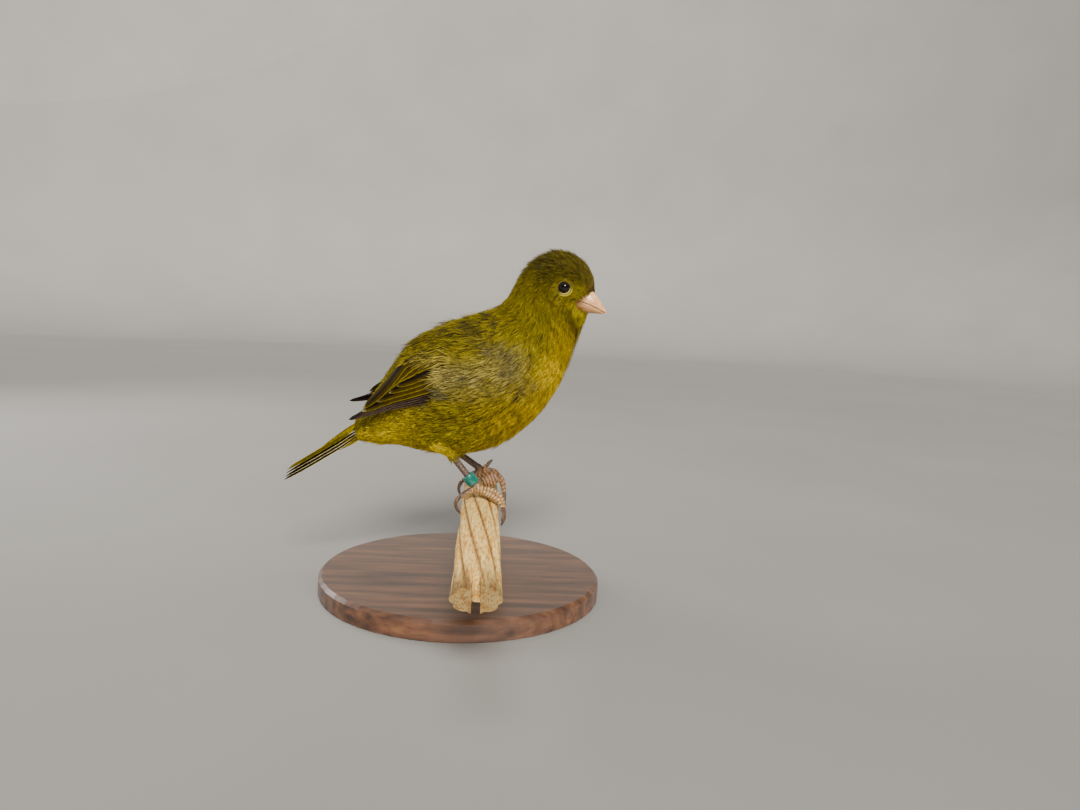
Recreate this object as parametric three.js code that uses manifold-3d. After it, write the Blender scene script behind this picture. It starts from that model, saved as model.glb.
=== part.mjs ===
// A life-size still model of a domestic canary that grips a cut length of fluted perch on a plain display stand.
// Millimetres, +Z up. The bird faces +X, its right side is -Y, and the perch runs along Y.
// The origin is the middle of the stand base's underside.
import * as THREE from 'three';
import { mergeVertices } from 'three/addons/utils/BufferGeometryUtils.js';
import Module from 'manifold-3d';

const wasm = await Module();
wasm.setup();

// Driving dimensions. Every piece of the bird is placed from the top of the perch under its feet.
const gap = 0.3;
const perch = {
  halfWidth: 5.85, halfHeight: 3.3, fluteDepth: 0.12, flutes: 8, twistPerMm: 1.1, near: -84, far: 23, yaw: 0.55, dip: 1,
};
const slot = { width: 2, depth: 7 };
const stand = { baseRadius: 42, baseHeight: 6, edge: 1, rodRadius: 2.4, rodShown: 15, socket: 3 };
const footing = { x: 5, y: 12 };
const perchTop = stand.baseHeight + stand.rodShown + 2 * perch.halfHeight;

// The body in outline, from the root of the tail to the root of the bill. Each station is a slice from a point
// on the back to a point on the underside, with its half width and how far its widest line sits below the middle.
const stations = [
  { name: 'tail root', back: [-39.5, 21.8], under: [-38.2, 15.4], half: 4.6, low: 0 },
  { name: 'rump', back: [-35.4, 27.6], under: [-32.5, 14.4], half: 7.6, low: 0 },
  { name: 'vent', back: [-31.4, 34.6], under: [-25.5, 14.4], half: 11.4, low: 0 },
  { name: 'loin', back: [-26.4, 42.2], under: [-17, 12.8], half: 14.6, low: 0.05 },
  { name: 'belly', back: [-19.4, 48.8], under: [-6, 12.6], half: 16.8, low: 0.08 },
  { name: 'flank', back: [-10.8, 53.2], under: [5.5, 16], half: 17.8, low: 0.1 },
  { name: 'breast', back: [-3.2, 56], under: [15.6, 24.2], half: 17.6, low: 0.1 },
  { name: 'shoulder', back: [2.2, 58.2], under: [22.8, 35], half: 16, low: 0.08 },
  { name: 'neck base', back: [5.6, 61.2], under: [26.4, 44.6], half: 13.2, low: 0.05 },
  { name: 'neck', back: [8, 65.4], under: [27.8, 50.2], half: 11, low: 0.02 },
  { name: 'nape', back: [11, 70.3], under: [29.4, 54.3], half: 9.7, low: 0 },
  { name: 'ear', back: [15.8, 74.5], under: [30.4, 56.5], half: 9.1, low: 0 },
  { name: 'crown', back: [22, 76.3], under: [30.8, 57.3], half: 8.4, low: -0.05 },
  { name: 'brow', back: [28.2, 73.9], under: [31.2, 57.7], half: 6.6, low: -0.2 },
  { name: 'forehead', back: [31.9, 69.4], under: [31.6, 58.3], half: 4.5, low: -0.2 },
  { name: 'bill root', back: [32.8, 65.4], under: [32, 59.6], half: 2.6, low: 0 },
];
const order = Object.fromEntries(stations.map((s, i) => [s.name, i]));
const bodyRows = 40;
const bodySides = 28;

// The head is turned towards the bird's right, more and more from the shoulder to the ear.
const turn = { angle: 20, pivotX: 13, from: order.shoulder, to: order.ear };

// Small tools for curves, rings and solids.
const rad = THREE.MathUtils.degToRad;
const smooth = THREE.MathUtils.smoothstep;
const lerp = THREE.MathUtils.lerp;
const vec = (x, y, z) => new THREE.Vector3(x, y, z);

// The value at place t of a smooth curve through evenly spaced values.
function along(values, t) {
  const last = values.length - 1;
  const k = Math.min(Math.max(Math.floor(t), 0), last - 1);
  const f = t - k;
  const [a, b, c, d] = [k - 1, k, k + 1, k + 2].map((i) => values[Math.min(Math.max(i, 0), last)]);
  return b + 0.5 * f * (c - a + f * (2 * a - 5 * b + 4 * c - d + f * (3 * (b - c) + d - a)));
}

// A closed tube through rings of equally many points. The edges from flipFrom on are split the other way,
// so that both faces of a thin vane have the same triangles.
function loft(rings, flipFrom = Infinity) {
  const n = rings[0].length;
  const middle = (ring) => ring.reduce((sum, p) => sum.add(p), vec(0, 0, 0)).divideScalar(n);
  const points = [...rings.flat(), middle(rings[0]), middle(rings.at(-1))];
  const [first, last] = [points.length - 2, points.length - 1];
  const top = (rings.length - 1) * n;
  const faces = [];
  for (let j = 0; j < n; j++) {
    const next = (j + 1) % n;
    faces.push(first, next, j, last, top + j, top + next);
    for (let k = 0; k < top; k += n) {
      const [a, b, c, d] = [k + j, k + next, k + n + next, k + n + j];
      faces.push(...(j < flipFrom ? [a, b, c, a, c, d] : [a, b, d, b, c, d]));
    }
  }
  const geometry = new THREE.BufferGeometry().setFromPoints(points);
  geometry.setIndex(faces);
  return geometry;
}

function solidOf(geometry) {
  const bare = geometry.clone();
  for (const name of Object.keys(bare.attributes)) if (name !== 'position') bare.deleteAttribute(name);
  const merged = mergeVertices(bare, 1e-4);
  const kept = [];
  for (let i = 0; i < merged.index.count; i += 3) {
    const [a, b, c] = [0, 1, 2].map((j) => merged.index.getX(i + j));
    if (a !== b && b !== c && c !== a) kept.push(a, b, c);
  }
  const mesh = new wasm.Mesh({
    numProp: 3,
    vertProperties: merged.attributes.position.array,
    triVerts: new Uint32Array(kept),
  });
  const solid = new wasm.Manifold(mesh);
  if (solid.volume() > 0) return solid;
  for (let i = 0; i < kept.length; i += 3) [kept[i + 1], kept[i + 2]] = [kept[i + 2], kept[i + 1]];
  return new wasm.Manifold(new wasm.Mesh({ ...mesh, triVerts: new Uint32Array(kept) }));
}

const join = (solids) => wasm.Manifold.union(solids);
const largest = (solid) => solid.decompose().reduce((a, b) => (b.volume() > a.volume() ? b : a));

// True if the triangles still close the surface when their corners are rounded to a ten-thousandth.
function staysClosed({ numProp, vertProperties, triVerts }) {
  const ids = new Map();
  const idOf = (v) => {
    const key = [0, 1, 2].map((k) => Math.round(vertProperties[v * numProp + k] * 1e4)).join();
    return ids.get(key) ?? ids.set(key, ids.size).get(key);
  };
  const edges = new Set();
  for (let i = 0; i < triVerts.length; i += 3) {
    const corners = [0, 1, 2].map((k) => idOf(triVerts[i + k]));
    if (new Set(corners).size < 3) continue;
    for (let k = 0; k < 3; k++) {
      const [a, b] = [corners[k], corners[(k + 1) % 3]];
      if (edges.has(`${a}>${b}`)) return false;
      edges.add(`${a}>${b}`);
    }
  }
  return [...edges].every((edge) => edges.has(edge.split('>').reverse().join('>')));
}

// The largest closed surface, with its needless small triangles merged away.
function geometryOf(solid) {
  const tries = [0.04, 0.05, 0.06, 0.07, 0.08, 0.09, 0.1, 0.02, 0.01].map((tolerance) => () =>
    largest(solid.simplify(tolerance)).getMesh());
  const mesh = (tries.find((attempt) => staysClosed(attempt())) ?? tries[0])();
  const { numProp, numVert, vertProperties, triVerts } = mesh;
  const positions = new Float32Array(numVert * 3);
  for (let i = 0; i < numVert; i++) {
    positions.set(vertProperties.subarray(i * numProp, i * numProp + 3), i * 3);
  }
  const geometry = new THREE.BufferGeometry();
  geometry.setAttribute('position', new THREE.BufferAttribute(positions, 3));
  geometry.setIndex(new THREE.BufferAttribute(triVerts, 1));
  geometry.computeVertexNormals();
  return geometry;
}

// Joins vanes to a core one by one. A vane whose edge would only touch the others' is moved a little outwards.
const nudges = [0, 0.03, 0.06, 0.09, 0.12, -0.03, -0.06];
function fuse(core, vanes) {
  return vanes.reduce((all, make) => {
    for (const nudge of nudges) {
      const joined = all.add(make(nudge));
      if (staysClosed(joined.getMesh())) return joined;
    }
    return all.add(make(0));
  }, core);
}

// A round tapered bar along a curve. radiusAt gives its radius at each share of the length.
function bar(curve, radiusAt, steps, sides) {
  const frames = curve.computeFrenetFrames(steps, false);
  const rings = [];
  for (let i = 0; i <= steps; i++) {
    const p = curve.getPointAt(i / steps);
    const r = radiusAt(i / steps);
    const ring = [];
    for (let j = 0; j < sides; j++) {
      const a = (2 * Math.PI * j) / sides;
      const offset = frames.normals[i].clone().multiplyScalar(r * Math.cos(a));
      ring.push(p.clone().add(offset).addScaledVector(frames.binormals[i], r * Math.sin(a)));
    }
    rings.push(ring);
  }
  return solidOf(loft(rings));
}

const ball = (centre, radius, detail = 16) => {
  const geometry = new THREE.SphereGeometry(radius, detail, detail / 2);
  return solidOf(geometry.translate(...centre.toArray()));
};

// The body's surface.
const headTurn = (t) => rad(turn.angle) * smooth(t, turn.from, turn.to);

// A point of the upright bird, turned about the neck's upright axis as the body is at station t.
function turned(x, y, z, t) {
  const a = headTurn(t);
  const [dx, c, s] = [x - turn.pivotX, Math.cos(a), Math.sin(a)];
  return vec(turn.pivotX + dx * c + y * s, y * c - dx * s, z);
}

// The slice at station t: its middle, the direction from underside to back, the direction to the left, and sizes.
function slice(t) {
  const of = (pick) => along(stations.map(pick), t);
  const back = turned(of((s) => s.back[0]), 0, of((s) => s.back[1]), t);
  const under = turned(of((s) => s.under[0]), 0, of((s) => s.under[1]), t);
  const a = headTurn(t);
  return {
    middle: back.clone().add(under).divideScalar(2),
    up: back.clone().sub(under).normalize(),
    left: vec(Math.sin(a), Math.cos(a), 0),
    tall: back.distanceTo(under) / 2,
    half: of((s) => s.half),
    low: of((s) => s.low),
  };
}

// The body's surface at station t and at an angle down from the back, on the right side or the left.
function skin(t, degrees, side, grow = 0) {
  const s = slice(t);
  const [c, w] = [Math.cos(rad(degrees)), Math.sin(rad(degrees))];
  return s.middle
    .clone()
    .addScaledVector(s.up, (s.tall + grow) * c)
    .addScaledVector(s.left, side * (s.half + grow) * w * (1 - s.low * c));
}

function body(grow, rows = bodyRows, sides = bodySides) {
  const rings = [];
  for (let i = 0; i < rows; i++) {
    const t = (i / (rows - 1)) * (stations.length - 1);
    const ring = [];
    for (let j = 0; j < sides; j++) ring.push(skin(t, (360 * j) / sides, 1, grow));
    rings.push(ring);
  }
  return solidOf(loft(rings));
}

// The plane of the slice at station t, as a normal towards the head and a distance.
function plane(t) {
  const s = slice(t);
  const normal = s.left.clone().cross(s.up).normalize();
  return [normal, normal.dot(s.middle)];
}

// The length of the body between two stations, half a gap back from each.
function length(solid, from, to) {
  let part = solid;
  if (from !== null) {
    const [n, d] = plane(from);
    part = part.trimByPlane(n.toArray(), d + gap / 2);
  }
  if (to !== null) {
    const [n, d] = plane(to);
    part = part.trimByPlane(n.clone().negate().toArray(), gap / 2 - d);
  }
  return part;
}

const whole = body(0);
const grown = body(gap);
const roughlyGrown = body(gap + 0.12, 24, 22);
const cuts = { rump: 1.6, neck: 7.7, head: 9.6 };

// Eyes in raised lids, sunk into the side of the head.
const eye = { station: 11.6, degrees: 99, sunk: 1.3, radius: 2, lidRadius: 1.92, lidThick: 0.46, lidOut: 1.35 };
const eyeCentre = (side) => skin(eye.station, eye.degrees, side, -eye.sunk);
const eyeAxis = (side) => skin(eye.station, eye.degrees, side, 1).sub(eyeCentre(side)).normalize();

function lid(side) {
  const ring = new THREE.TorusGeometry(eye.lidRadius, eye.lidThick, 6, 12);
  ring.applyQuaternion(new THREE.Quaternion().setFromUnitVectors(vec(0, 0, 1), eyeAxis(side)));
  return solidOf(ring.translate(...eyeCentre(side).addScaledVector(eyeAxis(side), eye.lidOut).toArray()));
}

// Each half of the bill is a row of arched slices between the mouth line and its own ridge, in the plane of the
// unturned head. It starts inside the face and is cut off at the edge of the feathers.
const onHead = (x, y, z) => turned(x, y, z, order.crown);
const bill = {
  mouth: [[26.5, 61.9], [30.3, 61.2], [33.7, 60], [37, 58.2]],
  culmen: [[30.4, 66.4], [33.6, 63.7], [35.7, 60.9], [37.3, 58.3]],
  gonys: [[27, 58.8], [30.6, 58.1], [33.6, 58], [36.8, 58]],
  halfWidth: [3.7, 3.3, 2.1, 0.25],
  rows: 9,
  arch: 8,
  lowerShare: 0.93,
  feathers: [[33, 65.6], [31.9, 63.6], [28.7, 61.4], [28.9, 59.4], [31.4, 57.8], [31.6, 54]],
};
const nostril = { row: 1.05, round: 50, radius: 0.4 };

function billPoint(ridge, offset, t, degrees) {
  const at = (line, k) => along(line.map((p) => p[k]), t);
  const rise = Math.sin(rad(degrees)) ** 0.85;
  return onHead(
    lerp(at(bill.mouth, 0), at(ridge, 0), rise),
    along(bill.halfWidth, t) * Math.cos(rad(degrees)),
    lerp(at(bill.mouth, 1) + offset, at(ridge, 1), rise),
  );
}

function billHalf(ridge, offset, share) {
  const rings = [];
  for (let i = 0; i <= bill.rows; i++) {
    const t = (share * i * (bill.mouth.length - 1)) / bill.rows;
    const ring = [];
    for (let j = 0; j <= bill.arch; j++) ring.push(billPoint(ridge, offset, t, (180 * j) / bill.arch));
    rings.push(ring);
  }
  return solidOf(loft(rings));
}

// Everything in front of the edge of the face's feathers, moved forwards by a clearance.
function faceFront(clear) {
  const outline = new THREE.Shape();
  const points = [...bill.feathers, [45, 54], [45, 65.6]];
  points.forEach(([x, z], i) => (i ? outline.lineTo(x + clear, z) : outline.moveTo(x + clear, z)));
  const geometry = new THREE.ExtrudeGeometry(outline, { depth: 30, steps: 1, bevelEnabled: false });
  const p = geometry.attributes.position;
  for (let i = 0; i < p.count; i++) p.setXYZ(i, ...onHead(p.getX(i), p.getZ(i) - 15, p.getY(i)).toArray());
  return solidOf(geometry);
}

function buildHead() {
  const sides = [-1, 1];
  const sockets = join(sides.map((side) => ball(eyeCentre(side), eye.radius + gap, 14)));
  const nostrils = join([nostril.round, 180 - nostril.round].map((degrees) =>
    ball(billPoint(bill.culmen, gap / 2, nostril.row, degrees), nostril.radius, 8)));
  const face = length(whole, cuts.head, null).subtract(faceFront(0));
  const front = faceFront(gap * 1.3);
  return {
    head: join([face, ...sides.map(lid)]).subtract(sockets),
    upper: billHalf(bill.culmen, gap / 2, 1).intersect(front).subtract(nostrils),
    lower: billHalf(bill.gonys, -gap / 2, bill.lowerShare).intersect(front),
  };
}

// Feather vanes. Each row of a vane has its point, the direction across it and its outward normal. The lower
// edge stands out and the other edge is sunk and sharp, so that neighbours overlap like tiles.
function vane(rows, { width, thick, step }) {
  const last = rows.length - 1;
  const rings = rows.map(({ point, across, out }, i) => {
    const t = i / last;
    const w = (width / 2) * (0.62 + 0.38 * smooth(t, 0, 0.35)) * Math.sqrt(Math.max(1 - t ** 4, 0.02));
    const h = thick * (1 - 0.55 * t ** 3);
    const edge = (side, lift, up) =>
      point.clone().addScaledVector(across, side * w).addScaledVector(out, lift * step + up);
    return [edge(-1, 0.5, h), edge(0.1, 0.3, h), edge(1, -0.5, 0), edge(-1, 0.5, 0)];
  });
  return solidOf(loft(rings));
}

// The folded wing is a curved sheet on the side of the body. Its lower, middle and upper lines run from the
// shoulder to the wing tip, at these stations and angles, this far out from the body.
const wing = {
  stations: [7.1, 5.9, 4.7, 3.5, 2.4],
  lower: { degrees: [80, 88, 94, 96, 96], out: [-1.8, -1.6, -0.9, 0.7, 1.5] },
  middle: { degrees: [56, 60, 61, 60, 56], out: [-0.4, 0.7, 1.5, 2.2, 2.4] },
  upper: { degrees: [32, 25, 19, 19, 18], out: [0, 0.7, 1.2, 1.5, 1.8] },
  thick: 0.55,
  coreEnd: 0.74,
};
const wings = {
  right: { side: -1, tip: [-40.4, 9.2, 23.2], drop: 0 },
  left: { side: 1, tip: [-43.2, 8, 26.9], drop: 5 },
};

function wingSheet({ side, tip, drop }) {
  const line = ({ degrees, out }, shift) => {
    const points = wing.stations.map((t, i) => skin(t, degrees[i] - drop * smooth(i, 1, 4), side, out[i]));
    points.push(vec(tip[0], side * tip[1], tip[2] + shift));
    return points;
  };
  const lines = [line(wing.lower, -0.7), line(wing.middle, 0), line(wing.upper, 0.8)];
  const last = wing.stations.length;
  const at = (s, c) => {
    const [a, b, d] = lines.map((points) =>
      vec(...['x', 'y', 'z'].map((k) => along(points.map((p) => p[k]), s * last))));
    return a.multiplyScalar((c * (c - 1)) / 2).addScaledVector(b, 1 - c * c).addScaledVector(d, (c * (c + 1)) / 2);
  };
  // The point, the outward normal and the direction up across the sheet.
  return (s, c, h = 0) => {
    const e = 0.01;
    const back = at(s + e, c).sub(at(s - e, c)).normalize();
    const across = at(s, c + e).sub(at(s, c - e)).normalize();
    const out = back.clone().cross(across).multiplyScalar(side).normalize();
    return { point: at(s, c).addScaledVector(out, h), back, across, out };
  };
}

function wingCore(sheet) {
  const rows = 8;
  const columns = 5;
  const deep = 4;
  const rings = [];
  for (let i = 0; i <= rows; i++) {
    const s = (wing.coreEnd * i) / rows;
    const outer = [];
    const inner = [];
    for (let j = 0; j <= columns; j++) {
      const c = -0.92 + (1.84 * j) / columns;
      const h = 0.1 - 0.9 * c ** 4 - 0.8 * (1 - smooth(s, 0, 0.12)) - 0.6 * smooth(s, 0.5, wing.coreEnd);
      outer.push(sheet(s, c, h).point);
      inner.unshift(sheet(s, c, h - lerp(deep, 1, smooth(s, 0.45, wing.coreEnd))).point);
    }
    rings.push([...outer, ...inner]);
  }
  return solidOf(loft(rings, columns + 1));
}

// The wing's feathers in tiers, from the undermost. Each tier runs from its first feather, low on the wing, to
// its last: where the roots and tips lie along the sheet and across it, the width, and the height of the tier.
const tiers = [
  { name: 'primaries', count: 6, rows: 3, root: [[0.5, -0.86], [0.5, -0.5]], tip: [[1, -0.52], [0.94, -0.4]], width: 3.6, lift: -0.3, rise: 0.1 },
  { name: 'secondaries', count: 4, rows: 3, root: [[0.42, -0.5], [0.42, -0.05]], tip: [[0.92, -0.38], [0.7, -0.16]], width: 4.6, lift: 0.3, rise: 0.12 },
  { name: 'tertials', count: 3, rows: 3, root: [[0.4, 0.2], [0.46, 0.7]], tip: [[0.8, 0.02], [0.91, -0.24]], width: 5.6, lift: 0.7, rise: 0.15 },
  { name: 'greater coverts', count: 4, rows: 2, root: [[0.24, -0.7], [0.28, 0.16]], tip: [[0.56, -0.66], [0.6, 0]], width: 5, lift: 0.8, rise: 0.05 },
  { name: 'median coverts', count: 3, rows: 2, root: [[0.1, -0.4], [0.14, 0.3]], tip: [[0.36, -0.46], [0.42, 0.22]], width: 5.4, lift: 0.9, rise: 0.05 },
  { name: 'scapulars', count: 5, rows: 3, root: [[0.14, 0.3], [0.34, 0.86]], tip: [[0.6, 0.16], [0.82, 0.56]], width: 6.2, lift: 1.1, rise: 0.05 },
];

function buildWing(which) {
  const sheet = wingSheet(which);
  const vanes = [];
  for (const { count, rows: steps, root, tip, width, lift, rise } of tiers) {
    for (let i = 0; i < count; i++) {
      const f = i / (count - 1);
      const from = [0, 1].map((k) => lerp(root[0][k], root[1][k], f));
      const to = [0, 1].map((k) => lerp(tip[0][k], tip[1][k], f));
      vanes.push((nudge) => {
        const rows = [];
        for (let j = 0; j <= steps; j++) {
          const t = j / steps;
          const h = lift + nudge + rise * i - 1.1 * (1 - smooth(t, 0, 0.4));
          rows.push(sheet(lerp(from[0], to[0], t), lerp(from[1], to[1], t), h));
        }
        return vane(rows, { width: width * (1 - 0.12 * f), thick: wing.thick, step: 0.5 });
      });
    }
  }
  return fuse(wingCore(sheet), vanes).subtract(roughlyGrown);
}

// The tail: six pairs of vanes in a closed fan, the middle pair on top and shortest, with coverts over and
// under their roots.
const tail = {
  root: vec(-38.6, 0, 18.6), fall: 33.5, pairs: 6, length: 24.6, fork: 3.4, width: 5.4, thick: 0.5,
  spread: 0.75, layer: 0.3, splay: 0.9, roof: 5, rows: 3,
  over: { count: 4, length: [9, 15], width: 5, spread: 2.6 },
  under: { count: 5, length: [9, 17], width: 5, spread: 3.4 },
};

// A straight vane from the tail's root, offset to one side and up, splayed, tilted and bent a little downwards.
function tailVane({ length: reach, aside, above, splay, roof, width, thick, sag = 0, step = 0 }) {
  const back = vec(-Math.cos(rad(tail.fall)), 0, -Math.sin(rad(tail.fall)));
  const up = vec(-Math.sin(rad(tail.fall)), 0, Math.cos(rad(tail.fall)));
  const rows = [];
  for (let j = 0; j <= tail.rows; j++) {
    const t = j / tail.rows;
    const out = up.clone().applyAxisAngle(back, rad(roof));
    const point = tail.root.clone()
      .addScaledVector(back, reach * t)
      .addScaledVector(vec(0, 1, 0), aside + reach * t * Math.tan(rad(splay)))
      .addScaledVector(up, above - sag * t * t);
    rows.push({ point, across: back.clone().cross(out).normalize(), out });
  }
  return vane(rows, { width, thick, step });
}

function buildTail() {
  const back = vec(-Math.cos(rad(tail.fall)), 0, -Math.sin(rad(tail.fall)));
  const up = vec(-Math.sin(rad(tail.fall)), 0, Math.cos(rad(tail.fall)));
  const rings = [];
  const core = { length: 9, rows: 4, sides: 12, tall: [3.1, 1.1], wide: [4.3, 2.6] };
  for (let i = 0; i <= core.rows; i++) {
    const t = i / core.rows;
    const [tall, wide] = [lerp(...core.tall, t), lerp(...core.wide, t)];
    const ring = [];
    for (let j = 0; j < core.sides; j++) {
      const a = (2 * Math.PI * j) / core.sides;
      const point = tail.root.clone().addScaledVector(back, core.length * t - 1).addScaledVector(up, tall * Math.cos(a));
      ring.push(point.addScaledVector(vec(0, 1, 0), wide * Math.sin(a)));
    }
    rings.push(ring);
  }
  const vanes = [];
  for (const side of [-1, 1]) {
    for (let i = 0; i < tail.pairs; i++) {
      vanes.push((nudge) => tailVane({
        length: tail.length + (tail.fork * i) / (tail.pairs - 1),
        aside: side * (1.1 + tail.spread * i * 0.6),
        above: 1.1 - tail.layer * i + nudge,
        splay: side * tail.splay * (0.4 + i * 0.5),
        roof: side * (4 + tail.roof * i * 0.5),
        width: tail.width,
        thick: tail.thick,
      }));
    }
  }
  for (const [row, above, sag] of [[tail.over, 2, 1.2], [tail.under, -2.6, -1.6]]) {
    for (let i = 0; i < row.count; i++) {
      const f = (2 * i) / (row.count - 1) - 1;
      vanes.push((nudge) => tailVane({
        length: lerp(row.length[1], row.length[0], Math.abs(f)),
        aside: row.spread * f,
        above: above * Math.sqrt(1 - 0.45 * f * f) + nudge,
        splay: 2 * f,
        roof: (above > 0 ? 28 : -24) * f,
        width: row.width,
        thick: 0.6,
        sag,
      }));
    }
  }
  const [normal, distance] = plane(0);
  return fuse(solidOf(loft(rings)), vanes)
    .subtract(length(grown, null, 3))
    .trimByPlane(normal.negate().toArray(), -distance);
}

// The legs. Each shank runs from the belly feathers to the foot on top of the perch. Its toes are curves over
// the perch, three to the front and one behind, each with its claw.
const shank = { radius: 0.95, knuckle: 1.25 };
const toe = { rootRadius: 1.05, endRadius: 0.72, clawRadius: 0.6, tipRadius: 0.14 };
const thigh = { above: 5, topRadius: 4.6, endRadius: 1.7, shown: 2.2 };
const ring = { above: 1.15, length: 3.6, radius: 1.72 };
const legs = {
  right: {
    y: -8, heel: [-10.7, 14.8], foot: [-1.2, 3.4], ringed: true, pad: [0.9, 0, -0.8], padRadius: 1.5, toeScale: 1,
    toes: {
      outer: [[0.6, -1.2, 2.2], [3.6, -2.6, 1.3], [6.2, -3.3, -0.4], [7, -3.4, -1.9]],
      middle: [[0.9, 0.2, 2.7], [4.3, 0.3, 1.8], [6.4, 0.3, 0], [7.4, 0.2, -3.2]],
      inner: [[0.4, 1.4, 2.3], [3.8, 3, 1.6], [6.6, 3.9, -0.6]],
      hind: [[-2.2, 0, 2.7], [-3.9, -0.3, 1.6], [-6, -0.5, 0.4]],
    },
    claws: {
      outer: [[7.5, -3.3, -4.2], [6.9, -3.1, -6.2]],
      middle: [[7.7, 0, -6.2], [6.9, -0.1, -8.4]],
      inner: [[7.6, 4.2, -2.9], [7.1, 4, -5]],
      hind: [[-7.4, -0.5, -1.7], [-6.9, -0.4, -3.7], [-5.3, -0.3, -5.4]],
    },
  },
  left: {
    y: 8, heel: [-9.9, 12.4], foot: [-0.2, 5.8], pad: [2.9, -0.8, -2.9], padRadius: 3, toeScale: 1.25,
    toes: {
      inner: [[0.9, -1.3, 6], [1.7, -1.6, 7.5]],
      middle: [[2.3, 0, 5.5], [5, 0.3, 4.3], [7, 0.5, 1.6], [7.6, 0.5, -1.8]],
      outer: [[2, 1.5, 5], [4.6, 3, 3.8], [6.9, 3.9, 0.8], [7.3, 4, -0.8]],
      hind: [[-1.5, 0.2, 4.4], [-4.2, 0.3, 3.2], [-6, 0.4, 1.7]],
    },
    claws: {
      inner: [[2.5, -1.6, 8.5], [3.3, -1.5, 9.3]],
      middle: [[7.7, 0.4, -5], [7, 0.3, -8]],
      outer: [[7.7, 4.1, -3.2], [7.1, 4, -5.4]],
      hind: [[-7.2, 0.5, -0.5], [-7, 0.4, -2.2], [-6.4, 0.3, -3.6]],
    },
  },
};

// A bar along the perch's line with its own outline, twisted and then flattened to the perch's oval.
function perchBar(outline, grow, twist, steps) {
  const geometry = new THREE.ExtrudeGeometry(outline, { depth: perch.far - perch.near, steps, bevelEnabled: false });
  const p = geometry.attributes.position;
  for (let i = 0; i < p.count; i++) {
    const point = vec(p.getX(i), p.getY(i), 0).applyAxisAngle(vec(0, 0, 1), rad(twist * p.getZ(i)));
    const half = [perch.halfWidth + grow, perch.halfHeight + grow];
    p.setXYZ(i, point.x * half[0], perch.near + p.getZ(i), point.y * half[1] - perch.halfHeight);
  }
  return solidOf(geometry.rotateX(rad(perch.dip)).rotateZ(rad(perch.yaw)));
}

// The oval around the flutes and a gap clear of them, that every toe and claw keeps out of.
const perchClear = perchBar(new THREE.Shape().absarc(0, 0, 1, 0, 2 * Math.PI), gap, 0, 1);

function buildPerch() {
  const around = 48;
  const outline = new THREE.Shape();
  for (let i = 0; i < around; i++) {
    const a = (2 * Math.PI * i) / around;
    const r = 1 - perch.fluteDepth * (1 - Math.abs(Math.cos((a * perch.flutes) / 2)) ** 0.6);
    const point = [r * Math.sin(a), r * Math.cos(a)];
    if (i === 0) outline.moveTo(...point);
    else outline.lineTo(...point);
  }
  outline.closePath();
  const wire = new THREE.BoxGeometry(slot.width, 2 * slot.depth, 6 * perch.halfHeight).translate(0.8, perch.near, -perch.halfHeight);
  const hole = new THREE.CylinderGeometry(stand.rodRadius + gap, stand.rodRadius + gap, 2 * stand.socket, 24);
  hole.rotateX(Math.PI / 2).translate(0, -footing.y, -2 * perch.halfHeight);
  return perchBar(outline, 0, perch.twistPerMm, 6).subtract(solidOf(wire)).subtract(solidOf(hole));
}

function buildLeg(leg) {
  const at = ([x, aside, z]) => vec(x, leg.y + aside, z);
  const heel = at([leg.heel[0], 0, leg.heel[1]]);
  const foot = at([leg.foot[0], 0, leg.foot[1]]);
  const down = foot.clone().sub(heel).normalize();
  const knee = heel.clone().addScaledVector(down, thigh.shown);
  const straight = (from, to) => new THREE.LineCurve3(from, to);
  const padCentre = foot.clone().add(vec(...leg.pad));
  const pad = (grow) => join([
    ball(padCentre, leg.padRadius + grow, 12),
    bar(straight(foot.clone().addScaledVector(down, -0.4), padCentre), () => 1.2 + grow, 2, 12),
  ]);
  const shankLine = straight(knee.clone().addScaledVector(down, gap), foot.clone().addScaledVector(down, -0.8));
  const shankRadius = (t) => lerp(shank.radius, shank.knuckle, smooth(t, 0.88, 1));
  const made = {
    thigh: bar(straight(heel.clone().addScaledVector(down, -thigh.above), knee),
      (t) => lerp(thigh.topRadius, thigh.endRadius, smooth(t, 0, 1)), 6, 16).subtract(grown),
    shank: bar(shankLine, shankRadius, 10, 12).subtract(pad(gap)),
    pad: pad(0).subtract(perchClear),
  };
  const toeRadius = (t) => lerp(toe.rootRadius * leg.toeScale, toe.endRadius, t) * (1 + 0.12 * Math.cos(t * 6 * Math.PI));
  const clawRadius = (t) => lerp(toe.clawRadius, toe.tipRadius, t ** 1.3);
  const cleared = [pad(gap), perchClear, bar(shankLine, (t) => shankRadius(t) + gap, 10, 12)];
  if (leg.ringed) {
    const ends = [ring.above - gap, ring.above + ring.length + gap].map((up) => foot.clone().addScaledVector(down, -up));
    cleared.push(bar(straight(...ends), () => ring.radius + gap, 1, 16));
  }
  for (const [name, points] of Object.entries(leg.toes)) {
    const first = at(points[0]);
    const curve = new THREE.CatmullRomCurve3([padCentre.clone().lerp(first, 0.35), ...points.map(at)]);
    const end = curve.getPoint(1).addScaledVector(curve.getTangent(1), gap * 1.4);
    const clawCurve = new THREE.CatmullRomCurve3([end, ...leg.claws[name].map(at)]);
    made[`toe_${name}`] = bar(curve, toeRadius, 8, 7).subtract(join(cleared));
    made[`claw_${name}`] = bar(clawCurve, clawRadius, 6, 6).subtract(perchClear);
    cleared.push(bar(curve, (t) => toeRadius(t) + gap, 8, 7));
  }
  return { made, foot, down };
}

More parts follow.
